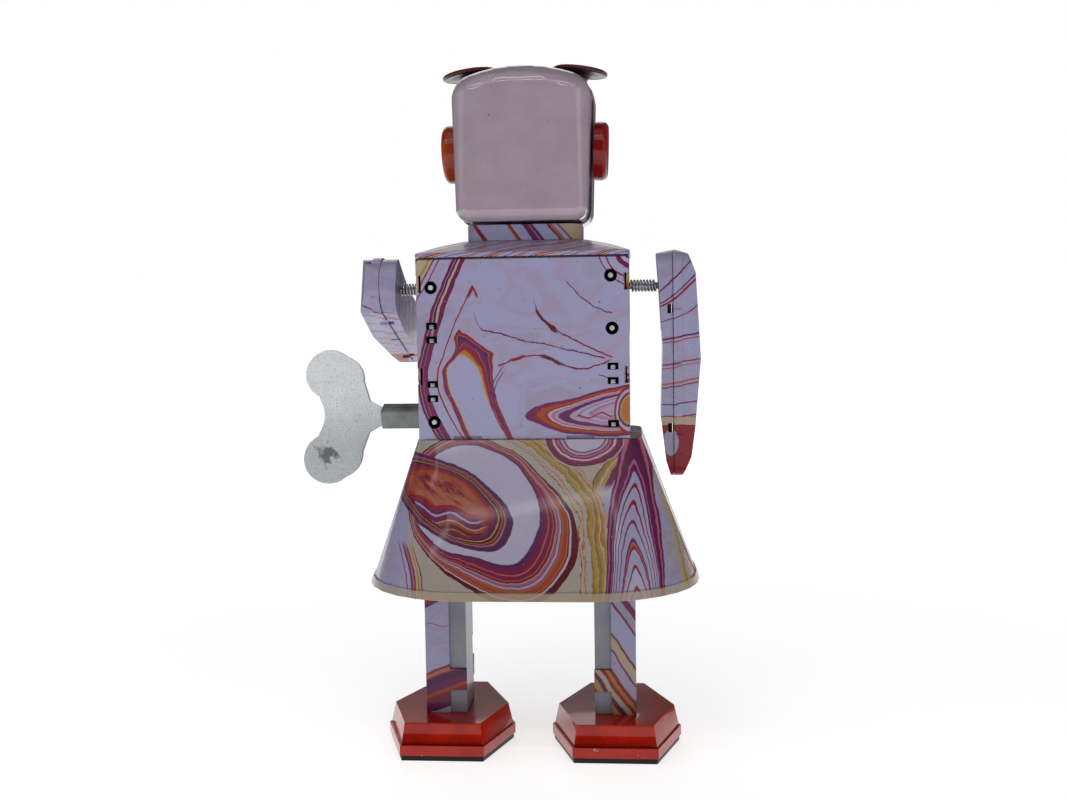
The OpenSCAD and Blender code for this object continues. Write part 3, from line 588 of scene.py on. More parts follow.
def print_skirt_back(g: Graph) -> Sock:
    """The skirt's rear print: a nested eye, a yellow stream, hanging scallops and chevrons."""
    p = start_print(g, -g.x, g.z, g.place)
    i, u, v = Ink, p.u, p.v
    p.colour = g.mix(u.step(-24.5, -21.5) * (1 - u.step(15, 17)), p.colour, i.BEIGE.linear)
    streak = g.noise(g.join(u * 0.9, v * 0.2, 3.0), 0.7, 2.0)[0]
    p.colour = g.mix(streak.step(0.5, 0.62) * (u.step(5, 12)) * 0.45, p.colour, i.CREAM.linear)
    # stripes of the low outer corner
    d = u - (-24.3 + 0.26 * (46 - v).most(0)) + 0.02 * (v - 40) * (v - 40)
    p.lay((d + 1.2) / 7, bands(
        "0 crimson, 0.04 lilac, 0.16 purple, 0.22 pink, 0.28 crimson, 0.33 cream, 0.4 mustard, 0.44 cream, "
        "0.5 purple, 0.53 purple", 0.01), 1 - v.step(44.5, 46.5))
    # outer nest: wide pale crescent ringed by bands that swell to the lower right
    du, dv = u + 6.6, v - 51.0
    length = (du * du + dv * dv).root().most(0.1)
    toward = ((0.5 * du - 0.86 * dv) / length * 0.5 + 0.5).step(0.2, 1.0)
    level = p.nest(-6.6, 51.0, 19.0, 13.4, -36, 2.4)
    inner = 0.87 - 0.37 * toward
    t = (level - inner) / (1 - inner)
    p.lay(t * 0.7 + 0.3, filled(
        "0 pale, 0.29 pale",
        "0.3 violet, 0.335 purple, 0.4 crimson, 0.455 pink, 0.475 crimson, 0.53 purple, 0.545 salmon, "
        "0.56 crimson, 0.6 cream, 0.612 pink, 0.65 purple, 0.662 warm, 0.7 warm", 0.004))
    p.lay(t * 0.7 + 0.3, bands(
        "0.7 red, 0.712 salmon, 0.75 orange, 0.82 mustard, 0.835 red, 0.86 pale, 0.89 dark, 0.985 dark", 0.004))
    fine = (t * 6.5).fract()
    p.colour = g.mix(t.step(0.25, 0.4) * (1 - t.step(0.9, 1.0)) * (1 - fine.step(0.0, 0.16)) * 0.55, p.colour,
                     i.DARK.linear)
    # salmon eye inside it
    level = p.nest(-15.4, 54.6, 14.6, 6.6, -27, 2.4)
    p.lay(level / 1.05, filled(
        "0 clay, 0.45 clay, 0.58 orange",
        "0.62 red, 0.66 purple, 0.7 dark, 0.745 cream, 0.757 dark, 0.8 mustard, 0.812 dark, 0.835 pink, "
        "0.86 violet, 0.945 purple, 0.955 purple", 0.004))
    along, over = u * 0.84 - v * 0.55, u * 0.55 + v * 0.84
    flow = g.noise(g.join(along * 0.5, over * 2.4, 1.0), 0.3, 3.0, 0.6, 0.6)[0]
    p.colour = g.mix(flow.step(0.49, 0.51) * (1 - level.step(0.5, 0.6)) * 0.8, p.colour, i.ORANGE.linear)
    p.colour = g.mix(flow.step(0.57, 0.585) * (1 - level.step(0.5, 0.6)), p.colour, i.CRIMSON.linear)
    low = v - (51.4 - 0.16 * (u + 20) + 0.5 * (u * 0.8).sin())
    p.lay((low + 3.0) / 6, bands(
        "0 purple, 0.12 dark, 0.24 mustard, 0.28 dark, 0.4 orange, 0.5 cream, 0.53 purple, 0.66 crimson, "
        "0.7 lilac, 0.76 purple, 0.86 red, 1 red", 0.012),
        (1 - level.step(0.66, 0.72)) * (1 - (u + v * 0.6).step(21, 24)))
    # yellow stream that falls from the waist
    high = (v - 50).most(0)
    tear = (g.noise(g.join(u * 1.2, v * 0.5, 7.0), 0.5, 3.0, 0.6)[0] - 0.5) * 2.6
    d = u - (14.4 - 0.055 * high * high) + tear
    p.lay((d + 3.2) / 6.4, bands(
        "0 crimson, 0.03 cream, 0.12 salmon, 0.15 beige, 0.3 olive, 0.36 yellow, 0.47 cream, 0.5 olive, "
        "0.62 yellow, 0.7 cream, 0.76 salmon, 0.8 yellow, 0.86 cream, 0.93 pink, 0.97 pink", 0.008))
    rise = (v - 56).most(0)
    d = u - (15.6 + 0.085 * rise * rise) + tear * 0.6
    p.lay((d + 1.8) / 3.6, bands(
        "0 crimson, 0.08 olive, 0.3 yellow, 0.4 cream, 0.5 yellow, 0.7 purple, 0.9 crimson, 1 crimson", 0.015),
        v.step(56, 58))
    # chevrons under it on the far side
    side = (abs(u - 22.2) * abs(u - 22.2) + 0.3).root()
    t = v + 2.5 * side + 0.083 * side * side * side
    chev: list[Swatch] = []
    rows = swatches(
        "36 lilac, 38.6 red, 39.4 pale, 42.6 crimson, 43.4 lilac, 46.4 red, 47.2 salmon, 47.8 purple, "
        "48.6 lilac, 51.4 crimson, 52.2 lilac, 55 red, 56 lilac, 58.4 crimson, 59.4 lilac, 61.5 purple, "
        "63 pink, 64 purple, 66.5 violet, 68 crimson, 69 pink, 71 purple, 74 purple")
    for at, ink in rows[:15]:
        chev.append(((at - 36) / 48, ink))
    p.lay((t - 36) / 48, bands(chev, 0.002)[1:], p.within(13, 31, 30, 63))
    tall = [((at - 56) / 28, ink) for at, ink in rows[14:]]
    p.lay((t - 56) / 28, bands(tall, 0.004), p.within(12.5, 29.5, 30, 70))
    # scallops hanging from the waist
    level = p.nest(12.2, 67.2, 8.4, 6.6)
    p.lay(level / 1.05, filled(
        "0 pale, 0.5 pale",
        "0.52 red, 0.55 lilac, 0.6 crimson, 0.63 pink, 0.68 crimson, 0.72 pale, 0.77 red, 0.82 purple, "
        "0.92 cream, 0.95 cream", 0.005))
    # slanting stripes by the far seam
    d = u - (28.4 + 0.23 * (58 - v).most(0))
    p.lay((d + 1.5) / 6.5, bands(
        "0 cream, 0.14 yellow, 0.2 beige, 0.3 salmon, 0.46 crimson, 0.5 pink, 0.58 purple, 0.66 salmon, "
        "0.74 crimson, 0.79 purple, 0.82 purple", 0.01), 1 - v.step(58, 60))
    p.colour = g.mix((1 - g.z.step(37.0, 37.5)) * 0.75, p.colour, i.CREAM.linear)
    return p.colour


HAND_TOP = 68.1
CUFF_TOP = 69.6
SHOULDER_Z = 97.0
LEFT_RAISE = 70


def print_arm(g: Graph, at: Sock, side: Side) -> Sock:
    """An arm's print: lilac with a few slanting stripes, a cream cuff and a red hand.

    Args:
        g: The graph.
        at: The place with the arm hanging, in millimetres.
        side: Which arm.

    Returns:
        The colour.
    """
    x, y, z = g.split(at)
    p = start_print(g, abs(x), z, at)
    i = Ink
    tilt = 0.12 + (0.9 if side is Side.RIGHT else 0.4) * z.step(84, 97)
    w = p.v - tilt * (p.u - 33) + 0.22 * y
    lines: list[Swatch] = []
    for at_z, ink, thick in ((70.2, i.MUSTARD, 0.5), (70.9, i.CRIMSON, 0.3), (73.6, i.PURPLE, 0.25),
                             (77.4, i.CRIMSON, 0.3), (78.1, i.SALMON, 0.5), (81.4, i.PINK, 0.35),
                             (82.2, i.RED, 0.25), (86.6, i.ORANGE, 0.35), (87.4, i.PURPLE, 0.45),
                             (92.4, i.CRIMSON, 0.25), (97.2, i.RED, 0.6), (98.2, i.PURPLE, 0.5),
                             (101.4, i.CRIMSON, 0.45)):
        lines += [((at_z - 68) / 38, ink), ((at_z + thick - 68) / 38, i.LILAC)]
    stops: list[Stop] = []
    for k, (pos, ink) in enumerate(lines):
        stops.append((pos, ink.value, 0.0 if k % 2 else 1.0))
    colour, alpha = g.ramp((w - 68) / 38, [(0.0, i.LILAC.value, 0.0)] + stops, hard=True)
    p.colour = g.mix(alpha, p.colour, colour)
    cuff = z + (g.noise(at, 0.5, 2.0)[0] - 0.5) * 0.35
    p.colour = g.mix(1 - cuff.step(CUFF_TOP, CUFF_TOP + 0.3), p.colour, i.CREAM.linear)
    hand = 1 - cuff.step(HAND_TOP, HAND_TOP + 0.15)
    p.colour = g.mix(hand, p.colour, i.HAND_RED.linear)
    tab = 1 - p.nest(29.6, 64.4, 1.7, 2.6).step(0.85, 1.0)
    return g.mix(tab * hand, p.colour, i.GREY.linear)


def print_leg(g: Graph, side: Side) -> Sock:
    """A leg's print: slanting bands at the top, lilac below and waves at the ankle.

    Args:
        g: The graph.
        side: Which leg.

    Returns:
        The colour.
    """
    p = start_print(g, -g.x, g.z, g.place)
    i = Ink
    if side is Side.LEFT:
        w = p.v - 0.45 * (p.u + 22) + 0.35 * (g.y - 8)
        p.lay((w - 7.6) / 9, bands(
            "0 purple, 0.2 crimson, 0.36 orange, 0.44 purple, 0.6 violet, 0.75 crimson, 0.8 pink, "
            "0.86 mustard, 0.9 red, 0.96 red", 0.012))
        p.thread(w - 22 - (p.u * 0.8).sin(), 0.16, i.WARM)
        p.thread(w - 25.5 - (p.u * 0.8).sin(), 0.16, i.PINK)
        p.lay((w - 30.2) / 12, bands(
            "0 purple, 0.06 red, 0.14 yellow, 0.2 crimson, 0.32 purple, 0.42 dark, 0.55 cream, 0.66 lilac, "
            "0.8 crimson, 1 crimson", 0.012))
    else:
        w = p.v + 1.35 * (p.u - 17.8) + 0.5 * (g.y - 8)
        p.lay((w - 6) / 40, bands(
            "0 crimson, 0.04 yellow, 0.09 purple, 0.13 cream, 0.17 red, 0.2 mustard, 0.23 crimson, "
            "0.26 warm, 0.34 purple, 0.355 cream, 0.42 crimson, 0.44 lilac, 0.6 crimson, 0.62 crimson", 0.004))
        p.lay((w - 32) / 8, bands("0.15 purple, 0.28 crimson, 0.4 lilac, 0.8 crimson, 0.86 crimson", 0.01))
    return p.colour


def print_neck(g: Graph) -> Sock:
    """The neck's few slanting lines on lilac.

    Args:
        g: The graph.

    Returns:
        The colour.
    """
    p = start_print(g, -g.x, g.z, g.place)
    i = Ink
    w = p.u + 0.8 * (g.z - 105.5) + 0.5 * (g.y - 8)
    p.lay((w + 9) / 24, bands(
        "0.06 crimson, 0.11 lilac, 0.38 orange, 0.4 red, 0.415 lilac, 0.51 purple, 0.56 pink, "
        "0.575 violet, 0.6 lilac, 0.71 crimson, 0.73 salmon, 0.76 lilac, 0.8 crimson, 0.815 cream, "
        "0.96 cream", 0.004))
    return p.colour


def print_top(g: Graph, at: Sock, slant: float, lift: float) -> Sock:
    """Slanting ribbons of red, orange and cream for the shoulder cap and the neck.

    Args:
        g: The graph.
        at: The place, in millimetres.
        slant: How far the ribbons lean.
        lift: Where the repeat starts.

    Returns:
        The colour.
    """
    x, y, z = g.split(at)
    p = start_print(g, -x, z, at)
    wander = g.noise(at, 0.12, 2.0)[0] * 7
    t = ((p.u - slant * z + slant * 0.4 * y + wander + lift) / 11).fract()
    i = Ink
    p.lay(t, bands(
        "0.1 crimson, 0.15 pale, 0.19 red, 0.23 orange, 0.28 cream, 0.34 crimson, 0.38 lilac, 0.56 purple, "
        "0.6 lilac, 0.74 red, 0.78 cream, 0.82 crimson, 0.85 crimson", 0.006))
    return p.colour


# ---------- finishes ----------

def specks(g: Graph, colour: Sock, scale: float, edge: tuple[float, float], amount: float, code: str,
           shift: Sequence[float] = (0.0, 0.0, 0.0)) -> Sock:
    """Scatters small specks over a colour.

    Args:
        g: The graph.
        colour: The colour so far.
        scale: Cells per millimetre.
        edge: The noise levels between which a speck fades in.
        amount: How strongly it covers.
        code: Its sRGB code.
        shift: A shift that picks other places.

    Returns:
        The colour with specks.
    """
    dots = g.noise(g.vector("ADD", g.place, shift), scale, 1.0)[0]
    return g.mix(dots.step(*edge) * amount, colour, linear(code))


@dataclass(frozen=True)
class PrintedTin:
    """Glossy printed tinplate: ink under a clear lacquer, with dust specks."""

    name: str
    art: Callable[[Graph], Sock]
    rough: float = 0.2

    def material(self) -> bpy.types.Material:
        """Builds the finish."""
        g = Graph(self.name)
        colour = self.art(g)
        colour = specks(g, colour, 1.9, (0.765, 0.785), 0.8, "2c1420")
        colour = specks(g, colour, 2.3, (0.79, 0.8), 0.6, "cfc8d4", (37.0, 11.0, 5.0))
        grain = g.noise(g.place, 9.0, 1.0)[0]
        colour = g.mix((grain - 0.5) * 0.10 + 0.05, colour, linear("6e6a86"))
        film = g.noise(g.place, 0.35, 3.0)[0]
        peel = g.noise(g.place, 0.8, 2.0)[0]
        normal = g.bump(peel, 0.05, 0.22)
        normal = g.bump(g.noise(g.place, 0.06, 1.0)[0], 0.5, 0.12, normal)
        g.shade(Base_Color=colour, Roughness=film * 0.14 + self.rough, Normal=normal, Metallic=0.0,
                Coat_Weight=0.22, Coat_Roughness=0.07, Specular_IOR_Level=0.2)
        return g.material


@dataclass(frozen=True)
class Lacquer:
    """Plain glossy lacquer with a little orange peel, depth and handling marks."""

    name: str
    code: str
    shade_code: str
    rough: float = 0.2
    coat: float = 0.8
    chips: float = 0.0
    shine: float = 0.15
    dust: float = 0.004

    def material(self) -> bpy.types.Material:
        """Builds the finish."""
        g = Graph(self.name)
        cloud = g.noise(g.place, 0.16, 3.0, 0.6)[0]
        colour = g.mix(cloud.step(0.3, 0.75), linear(self.code), linear(self.shade_code))
        colour = specks(g, colour, 1.7, (0.775, 0.79), 0.7, "2a1a20")
        fine = g.noise(g.place, 6.0, 2.0)[0]
        colour = g.mix(fine.step(0.35, 0.8) * self.dust, colour, linear("f0e6ea"))
        worn: Sock | float = 0.0
        if self.chips:
            bare = g.noise(g.place, 0.85, 3.0, 0.7)[0].step(0.745 - self.chips, 0.76 - self.chips)
            worn = bare * (1 - g.z.step(3.2, 4.4))
            colour = g.mix(worn, colour, linear("9b9a98"))
        peel = g.noise(g.place, 0.9, 2.0)[0]
        normal = g.bump(peel, 0.05, 0.2)
        g.shade(Base_Color=colour, Roughness=cloud * 0.12 + self.rough, Normal=normal, Metallic=worn,
                Coat_Weight=self.coat, Coat_Roughness=0.03, Specular_IOR_Level=self.shine)
        return g.material


@dataclass(frozen=True)
class Metal:
    """Bare metal with drawn grain, speckle and dull patches."""

    name: str
    code: str
    dark_code: str
    rough: float = 0.3
    speckle: float = 0.0
    grain: tuple[float, float, float] = (0.2, 3.0, 3.0)
    metallic: float = 1.0
    smudge: tuple[float, float] | None = None

    def material(self) -> bpy.types.Material:
        """Builds the finish."""
        g = Graph(self.name)
        lines = g.noise(g.vector("MULTIPLY", g.place, self.grain), 1.6, 3.0, 0.6)[0]
        patch = g.noise(g.place, 0.28, 3.0, 0.6)[0]
        colour = g.mix(patch.step(0.35, 0.7), linear(self.code), linear(self.dark_code))
        colour = g.mix(lines.step(0.4, 0.7) * 0.35, colour, linear(self.dark_code))
        if self.speckle:
            dots = g.noise(g.place, 3.4, 2.0, 0.7)[0]
            colour = g.mix(dots.step(0.42, 0.5) * self.speckle * 0.7, colour, linear(self.code))
            colour = g.mix(dots.step(0.57, 0.62) * self.speckle * 0.6, colour, linear("56605f"))
        # darker towards the bottom below the given height, with a dark noisy blot round the given point
        if self.smudge:
            across, up = g.x - self.smudge[0], g.z - self.smudge[1]
            far = (across * across + up * up).root()
            colour = g.mix((1 - up.step(0, 14)) * 0.4, colour, linear("6f7676"))
            blot = g.noise(g.place, 0.7, 3.0)[0] + 0.35 - far * 0.12
            colour = g.mix(blot.step(0.5, 0.75) * 0.75, colour, linear("3a3c3c"))
        normal = g.bump(lines, 0.04, 0.3)
        g.shade(Base_Color=colour, Roughness=patch * 0.2 + self.rough, Metallic=self.metallic, Normal=normal)
        return g.material


@dataclass(frozen=True)
class FaceLacquer:
    """The front of the head: pale lacquer with a plain round-eyed toy face printed on it."""

    name: str = "front_face_lacquer"
    eye_x: float = 5.6
    eye_z: float = 129.0
    eye_r: float = 2.7
    mouth_z: float = 119.0
    mouth_half: float = 4.6
    cheek_x: float = 9.0
    cheek_z: float = 121.5
    cheek_r: float = 1.9
    front_y: float = -9.5

    def material(self) -> bpy.types.Material:
        """Builds the finish."""
        g = Graph(self.name)
        cloud = g.noise(g.place, 0.16, 3.0, 0.6)[0]
        colour = g.mix(cloud.step(0.3, 0.75), linear("ab99a6"), linear("a3919e"))
        ahead = 1 - g.y.step(self.front_y, self.front_y + 1)
        du, dv = abs(g.x) - self.eye_x, g.z - self.eye_z
        r = (du * du + dv * dv).root() / self.eye_r
        eye, cover = g.ramp(r / 1.2, bands("0 black, 0.38 purple, 0.55 cream, 0.74 red, 0.83 red", 0.01))
        centre = 1 - r.step(0.2, 0.3)
        colour = g.mix(cover * ahead, colour, eye)
        colour = g.mix(centre * ahead, colour, Ink.BLACK.linear)
        curve = g.z - (self.mouth_z - 2.4 + 0.085 * g.x * g.x)
        beyond = abs(g.x).step(self.mouth_half, self.mouth_half + 0.4)
        smile = (1 - abs(curve).step(0.35, 0.55)) * (1 - beyond) * ahead
        colour = g.mix(smile, colour, Ink.RED.linear)
        du, dv = abs(g.x) - self.cheek_x, g.z - self.cheek_z
        cheek = 1 - ((du * du + dv * dv).root() / self.cheek_r).step(0.85, 1.0)
        colour = g.mix(cheek * ahead * 0.8, colour, Ink.SALMON.linear)
        normal = g.bump(g.noise(g.place, 0.9, 2.0)[0], 0.05, 0.2)
        g.shade(Base_Color=colour, Roughness=cloud * 0.12 + 0.16, Normal=normal, Coat_Weight=0.6,
                Coat_Roughness=0.05, Specular_IOR_Level=0.4)
        return g.material


def hanging(g: Graph, side: Side) -> Sock:
    """The place on an arm as if it hung straight down.

    Args:
        g: The graph.
        side: Which arm; only the left one is raised.

    Returns:
        The place in millimetres.
    """
    if side is Side.RIGHT:
        return g.place
    n = g.node("ShaderNodeVectorRotate", {"rotation_type": "X_AXIS"},
               {"Vector": g.place, "Center": (0.0, 0.0, SHOULDER_Z), "Angle": math.radians(LEFT_RAISE)})
    return Sock(g, n.outputs[0])


# ---------- mesh helpers ----------

def new_piece(name: str, bm: bmesh.types.BMesh, material: bpy.types.Material, body: str) -> bpy.types.Object:
    """Makes an object from a bmesh, dresses it and ties it to a body.

    Args:
        name: The piece's name.
        bm: Its shape, which is used up.
        material: Its finish.
        body: The frame body it rides.

    Returns:
        The object.
    """
    mesh = bpy.data.meshes.new(name)
    bm.to_mesh(mesh)
    bm.free()
    obj = bpy.data.objects.new(name, mesh)
    bpy.context.scene.collection.objects.link(obj)
    mesh.materials.append(material)
    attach(obj, body)
    log.info("%s rides %s", name, body)
    return obj


def shade_by_angle(obj: bpy.types.Object, degrees: float) -> None:
    """Shades an object smooth, with edges sharper than an angle left sharp."""
    mesh = obj.data
    mesh.shade_smooth()
    mesh.set_sharp_from_angle(angle=math.radians(degrees))


def add_bevel(obj: bpy.types.Object, width: float, segments: int = 2, angle: float = 35) -> None:
    """Adds a live bevel, in millimetres, on edges sharper than an angle."""
    m = obj.modifiers.new("edge", "BEVEL")
    m.width = width * MM
    m.segments = segments
    m.limit_method = "ANGLE"
    m.angle_limit = math.radians(angle)
    m.use_clamp_overlap = True
    m.harden_normals = True


def even_normals(obj: bpy.types.Object) -> None:
    """Weights the normals by face area, so that flat faces beside rounded edges stay flat to the eye."""
    m = obj.modifiers.new("even", "WEIGHTED_NORMAL")
    m.mode = "FACE_AREA"
    m.weight = 100
    m.keep_sharp = True


@dataclass
class Dresser:
    """Dresses the frame's nodes: some as they are, most as a cleaned copy with softened edges."""

    frame: dict
    slots: dict[str, str] = field(default_factory=dict)
    body_of: dict[str, str] = field(default_factory=dict)

    def __post_init__(self) -> None:
        """Reads slots and bodies from the record."""
        record = self.frame["record"]
        self.slots = {s["node"]: s["material_slot"] for s in record["subparts"]}
        for body, nodes in record["behaviour"]["bodies"].items():
            for n in nodes:
                self.body_of[n] = body

    def dress(self, node: str, material: bpy.types.Material, soften: float = 0.0, smooth: float = 40,
              segments: int = 2, even: bool = False) -> bpy.types.Object:
        """Gives a node its finish, as a cleaned copy that replaces it.

        Args:
            node: The node.
            material: The finish.
            soften: Width of the softened edges in millimetres, or 0 for none.
            smooth: Angle above which edges stay sharp.
            segments: Steps across a softened edge.
            even: True to weight the normals by face area.

        Returns:
            The piece.
        """
        bm = bmesh.new()
        bm.from_mesh(self.frame["nodes"][node].data)
        bmesh.ops.remove_doubles(bm, verts=bm.verts, dist=0.00001)
        bmesh.ops.dissolve_degenerate(bm, edges=bm.edges, dist=0.000005)
        if soften:
            bmesh.ops.dissolve_limit(bm, angle_limit=math.radians(0.6), verts=bm.verts, edges=bm.edges,
                                     delimit={"NORMAL"})
        piece = new_piece(node + "_dressed", bm, material, self.body_of[node])
        shade_by_angle(piece, smooth)
        if soften:
            add_bevel(piece, soften, segments)
        if even:
            even_normals(piece)
        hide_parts(node)
        return piece


# ---------- sub-assemblies ----------

@dataclass
class Head:
    """Head shells, ears and the two dishes."""

    dresser: Dresser

    def build(self) -> None:
        """Dresses the head's pieces."""
        cap = Lacquer("head_cap_lacquer", "a896a3", "a08d9b", 0.16, 0.9, shine=0.4, dust=0.04).material()
        self.dresser.dress("head_back_cap", cap, 0.0, 50, even=True)
        self.dresser.dress("head_front_shell", FaceLacquer().material(), 0.0, 50, even=True)
        for side, code, deep in ((Side.LEFT, "9a3a10", "86290a"), (Side.RIGHT, "900c08", "7e0808")):
            ear = Lacquer(f"{side.word}_ear_lacquer", code, deep, 0.2, 0.4).material()
            self.dresser.dress(f"{side.word}_ear_cap", ear, 0.0, 40, even=True)
            red = Lacquer(f"{side.word}_dish_lacquer", "6a0a16", "560811", 0.22, 0.4).material()
            dish = self.dresser.dress(f"{side.word}_top_dish", red, 0.0, 50, even=True)
            # painted shade: the dish faces that look downward get near-black lacquer
            shadowed = Lacquer(f"{side.word}_dish_underside", "1c0f12", "120a0c", 0.3, 0.5).material()
            dish.data.materials.append(shadowed)
            for face in dish.data.polygons:
                face.material_index = int(face.normal.z < -0.3)


@dataclass
class Torso:
    """Neck, shoulder cap, torso shells and painted shade behind the panel's holes."""

    dresser: Dresser
    half_d: float = 14.0
    tin: float = 0.5
    ring_r: float = 1.42
    lining: float = 0.3
    sunk: float = 0.22
    pins: tuple[tuple[float, float], ...] = ((18.4, 97.1), (-17.8, 99.0), (-18.0, 88.5), (18.2, 69.9))
    lugs: tuple[tuple[float, float], ...] = ((18.4, 89.4), (18.4, 86.6), (18.4, 77.6), (18.4, 74.7),
                                            (-18.1, 80.9), (-18.1, 78.0), (-18.1, 69.4))

    def build(self) -> None:
        """Dresses the torso and adds black pieces behind its holes as painted shade."""
        dress = self.dresser.dress
        dress("neck_collar", PrintedTin("neck_print", print_neck).material(), 0.12)
        shoulders = PrintedTin("shoulder_print", lambda g: print_top(g, g.place, 3.4, 8.0))
        dress("torso_top_cap", shoulders.material(), 0.15)
        panel = PrintedTin("back_panel_print", print_panel, 0.18)
        dress("torso_back_panel", panel.material(), 0.16, segments=3)
        front = PrintedTin("front_shell_print", lambda g: poured(g, g.place, 0.045, (61, 7, 13), 0.25))
        dress("torso_front_shell", front.material(), 0.15)
        bare = Metal("frame_tin", "b9bcc2", "8f939b", 0.32).material()
        for side in Side:
            dress(f"{side.word}_side_frame", bare, 0.06)
        dress("frame_pins", Metal("pin_tin", "d9dade", "b9bcc2", 0.3, metallic=0.6).material(), 0.08)
        self.hole_linings()

    def hole_linings(self) -> None:
        """Thin black discs and blocks just behind each round hole and slot: painted shade for the dark inside
        of the torso.
        """
        # painted shade: black discs and blocks stand in for the dark inside of the torso seen through the holes
        black = Lacquer("hole_black", "040404", "060506", 0.7, 0.0, shine=0.0).material()
        bm = bmesh.new()
        back = self.half_d - self.tin
        turn = Matrix.Rotation(math.radians(90), 4, "X")
        for x, z in self.pins:
            at = Matrix.Translation(Vector((x, back - self.sunk, z)) * MM)
            made = bmesh.ops.create_cone(bm, cap_ends=True, segments=40, radius1=self.ring_r * MM,
                                         radius2=self.ring_r * MM, depth=self.lining * MM, matrix=at @ turn)
            rim = [e for v in made["verts"] for e in v.link_edges if len(e.link_faces) == 2
                   and e.calc_face_angle(0) > 1]
            bmesh.ops.bevel(bm, geom=list(set(rim)), offset=0.05 * MM, segments=1, affect="EDGES",
                            profile=0.5, material=-1)
        size = Matrix.Diagonal(Vector((2.6 * MM, self.lining * MM, 1.8 * MM, 1)))
        for x, z in self.lugs:
            at = Matrix.Translation(Vector((x, back - self.sunk, z)) * MM)
            bmesh.ops.create_cube(bm, size=1, matrix=at @ size)
        new_piece("panel_hole_linings", bm, black, "robot_body")


@dataclass
class Skirt:
    """The two halves of the flared skirt."""

    dresser: Dresser

    def build(self) -> None:
        """Dresses both halves."""
        back = PrintedTin("skirt_back_print", print_skirt_back, 0.2)
        self.dresser.dress("skirt_back", back.material(), 0.16)
        front = PrintedTin("skirt_front_print", lambda g: poured(g, g.place, 0.042, (5, 90, 40), 0.1))
        self.dresser.dress("skirt_front", front.material(), 0.16)


@dataclass
class Arm:
    """One arm with its spring."""

    dresser: Dresser
    side: Side

    def build(self) -> None:
        """Dresses the arm."""
        word = self.side.word
        paint = PrintedTin(f"{word}_arm_print", lambda g: print_arm(g, hanging(g, self.side), self.side))
        art = paint.material()
        self.dresser.dress(f"{word}_arm_outer_shell", art, 0.22, segments=3)
        self.dresser.dress(f"{word}_arm_inner_cover", art, 0.1)
        wire = Metal(f"{word}_spring_wire", "dfe0e3", "b4b6ba", 0.14).material()
        self.dresser.dress(f"{word}_arm_spring", wire, 0.0, 75)


@dataclass
class Leg:
    """One leg with its foot."""

    dresser: Dresser
    side: Side

    def build(self) -> None:
        """Dresses the leg."""
        word = self.side.word
        art = PrintedTin(f"{word}_leg_print", lambda g: print_leg(g, self.side)).material()
        self.dresser.dress(f"{word}_leg_outer_shell", art, 0.1)
        channel = Lacquer(f"{word}_channel_lacquer", "83848f", "93949d", 0.3, 0.3).material()
        self.dresser.dress(f"{word}_leg_inner_channel", channel, 0.1)
        red = Lacquer(f"{word}_foot_lacquer", "bc220a", "9e1408", 0.17, 0.5, chips=0.05).material()
        self.dresser.dress(f"{word}_foot_shell", red, 0.7, 45, 4)
        sole = Lacquer(f"{word}_sole_black", "151416", "1f1d1f", 0.42, 0.2).material()
        self.dresser.dress(f"{word}_foot_sole", sole, 0.15)
        self.dresser.dress(f"{word}_hip_pin", Metal(f"{word}_pin_steel", "9da0a5", "72757a").material(), 0.08)


@dataclass
class Key:
    """The winding key."""

    dresser: Dresser

    def build(self) -> None:
        """Dresses the key's shaft and plate."""
        shaft = Metal("key_shaft_zinc", "8b918f", "6a716e", 0.42, 0.3, (0.12, 3.0, 3.0), 0.75).material()
        # the key plate is drawn darker towards its bottom, round its lower lobe
        plate = Metal("key_plate_zinc", "fbffff", "e6f0f2", 0.34, 0.7, (1.0, 1.0, 1.0), 0.05,
                      (43.5, 62.5)).material()
        self.dresser.dress("key_shaft", shaft, 0.1)
        self.dresser.dress("key_plate", plate, 0.2, segments=3)


@dataclass
class Clockwork:
    """The motor and its gears."""

    dresser: Dresser
    steel: tuple[str, ...] = ("mounting_rods", "left_motor_plate", "right_motor_plate", "motor_pillars",
                              "winding_arbor", "second_arbor", "crank_shaft", "left_crank", "right_crank",
                              "governor_shaft", "arm_axle")
    brass: tuple[str, ...] = ("great_wheel", "second_wheel", "governor_flywheel")

    def build(self) -> None:
        """Dresses the motor's pieces."""
        steel = Metal("motor_steel", "9da0a5", "72757a", 0.3).material()
        brass = Metal("wheel_brass", "c9a552", "a5803a", 0.28).material()
        for node in self.steel:
            self.dresser.dress(node, steel, 0.06)
        for node in self.brass:
            self.dresser.dress(node, brass, 0.05)
        self.dresser.dress("mainspring", Metal("blued_spring", "4a5468", "363d4c", 0.25).material(), 0.0, 30)


@dataclass(frozen=True)
class Lamp:
    """A rectangular soft light aimed at the robot: its place in metres, power in watts and size."""

    name: str
    place: tuple[float, float, float]
    power: float
    wide: float
    tall: float

    def hang(self) -> None:
        """Adds the light to the scene."""
        lamp = bpy.data.lights.new(self.name, "AREA")
        lamp.shape = "RECTANGLE"
        lamp.energy = self.power
        lamp.size = self.wide
        lamp.size_y = self.tall
        obj = bpy.data.objects.new(self.name, lamp)
        obj.location = self.place
        aim = Vector((0, 0, 0.08)) - Vector(self.place)
        obj.rotation_euler = aim.to_track_quat("-Z", "Y").to_euler()
        bpy.context.scene.collection.objects.link(obj)


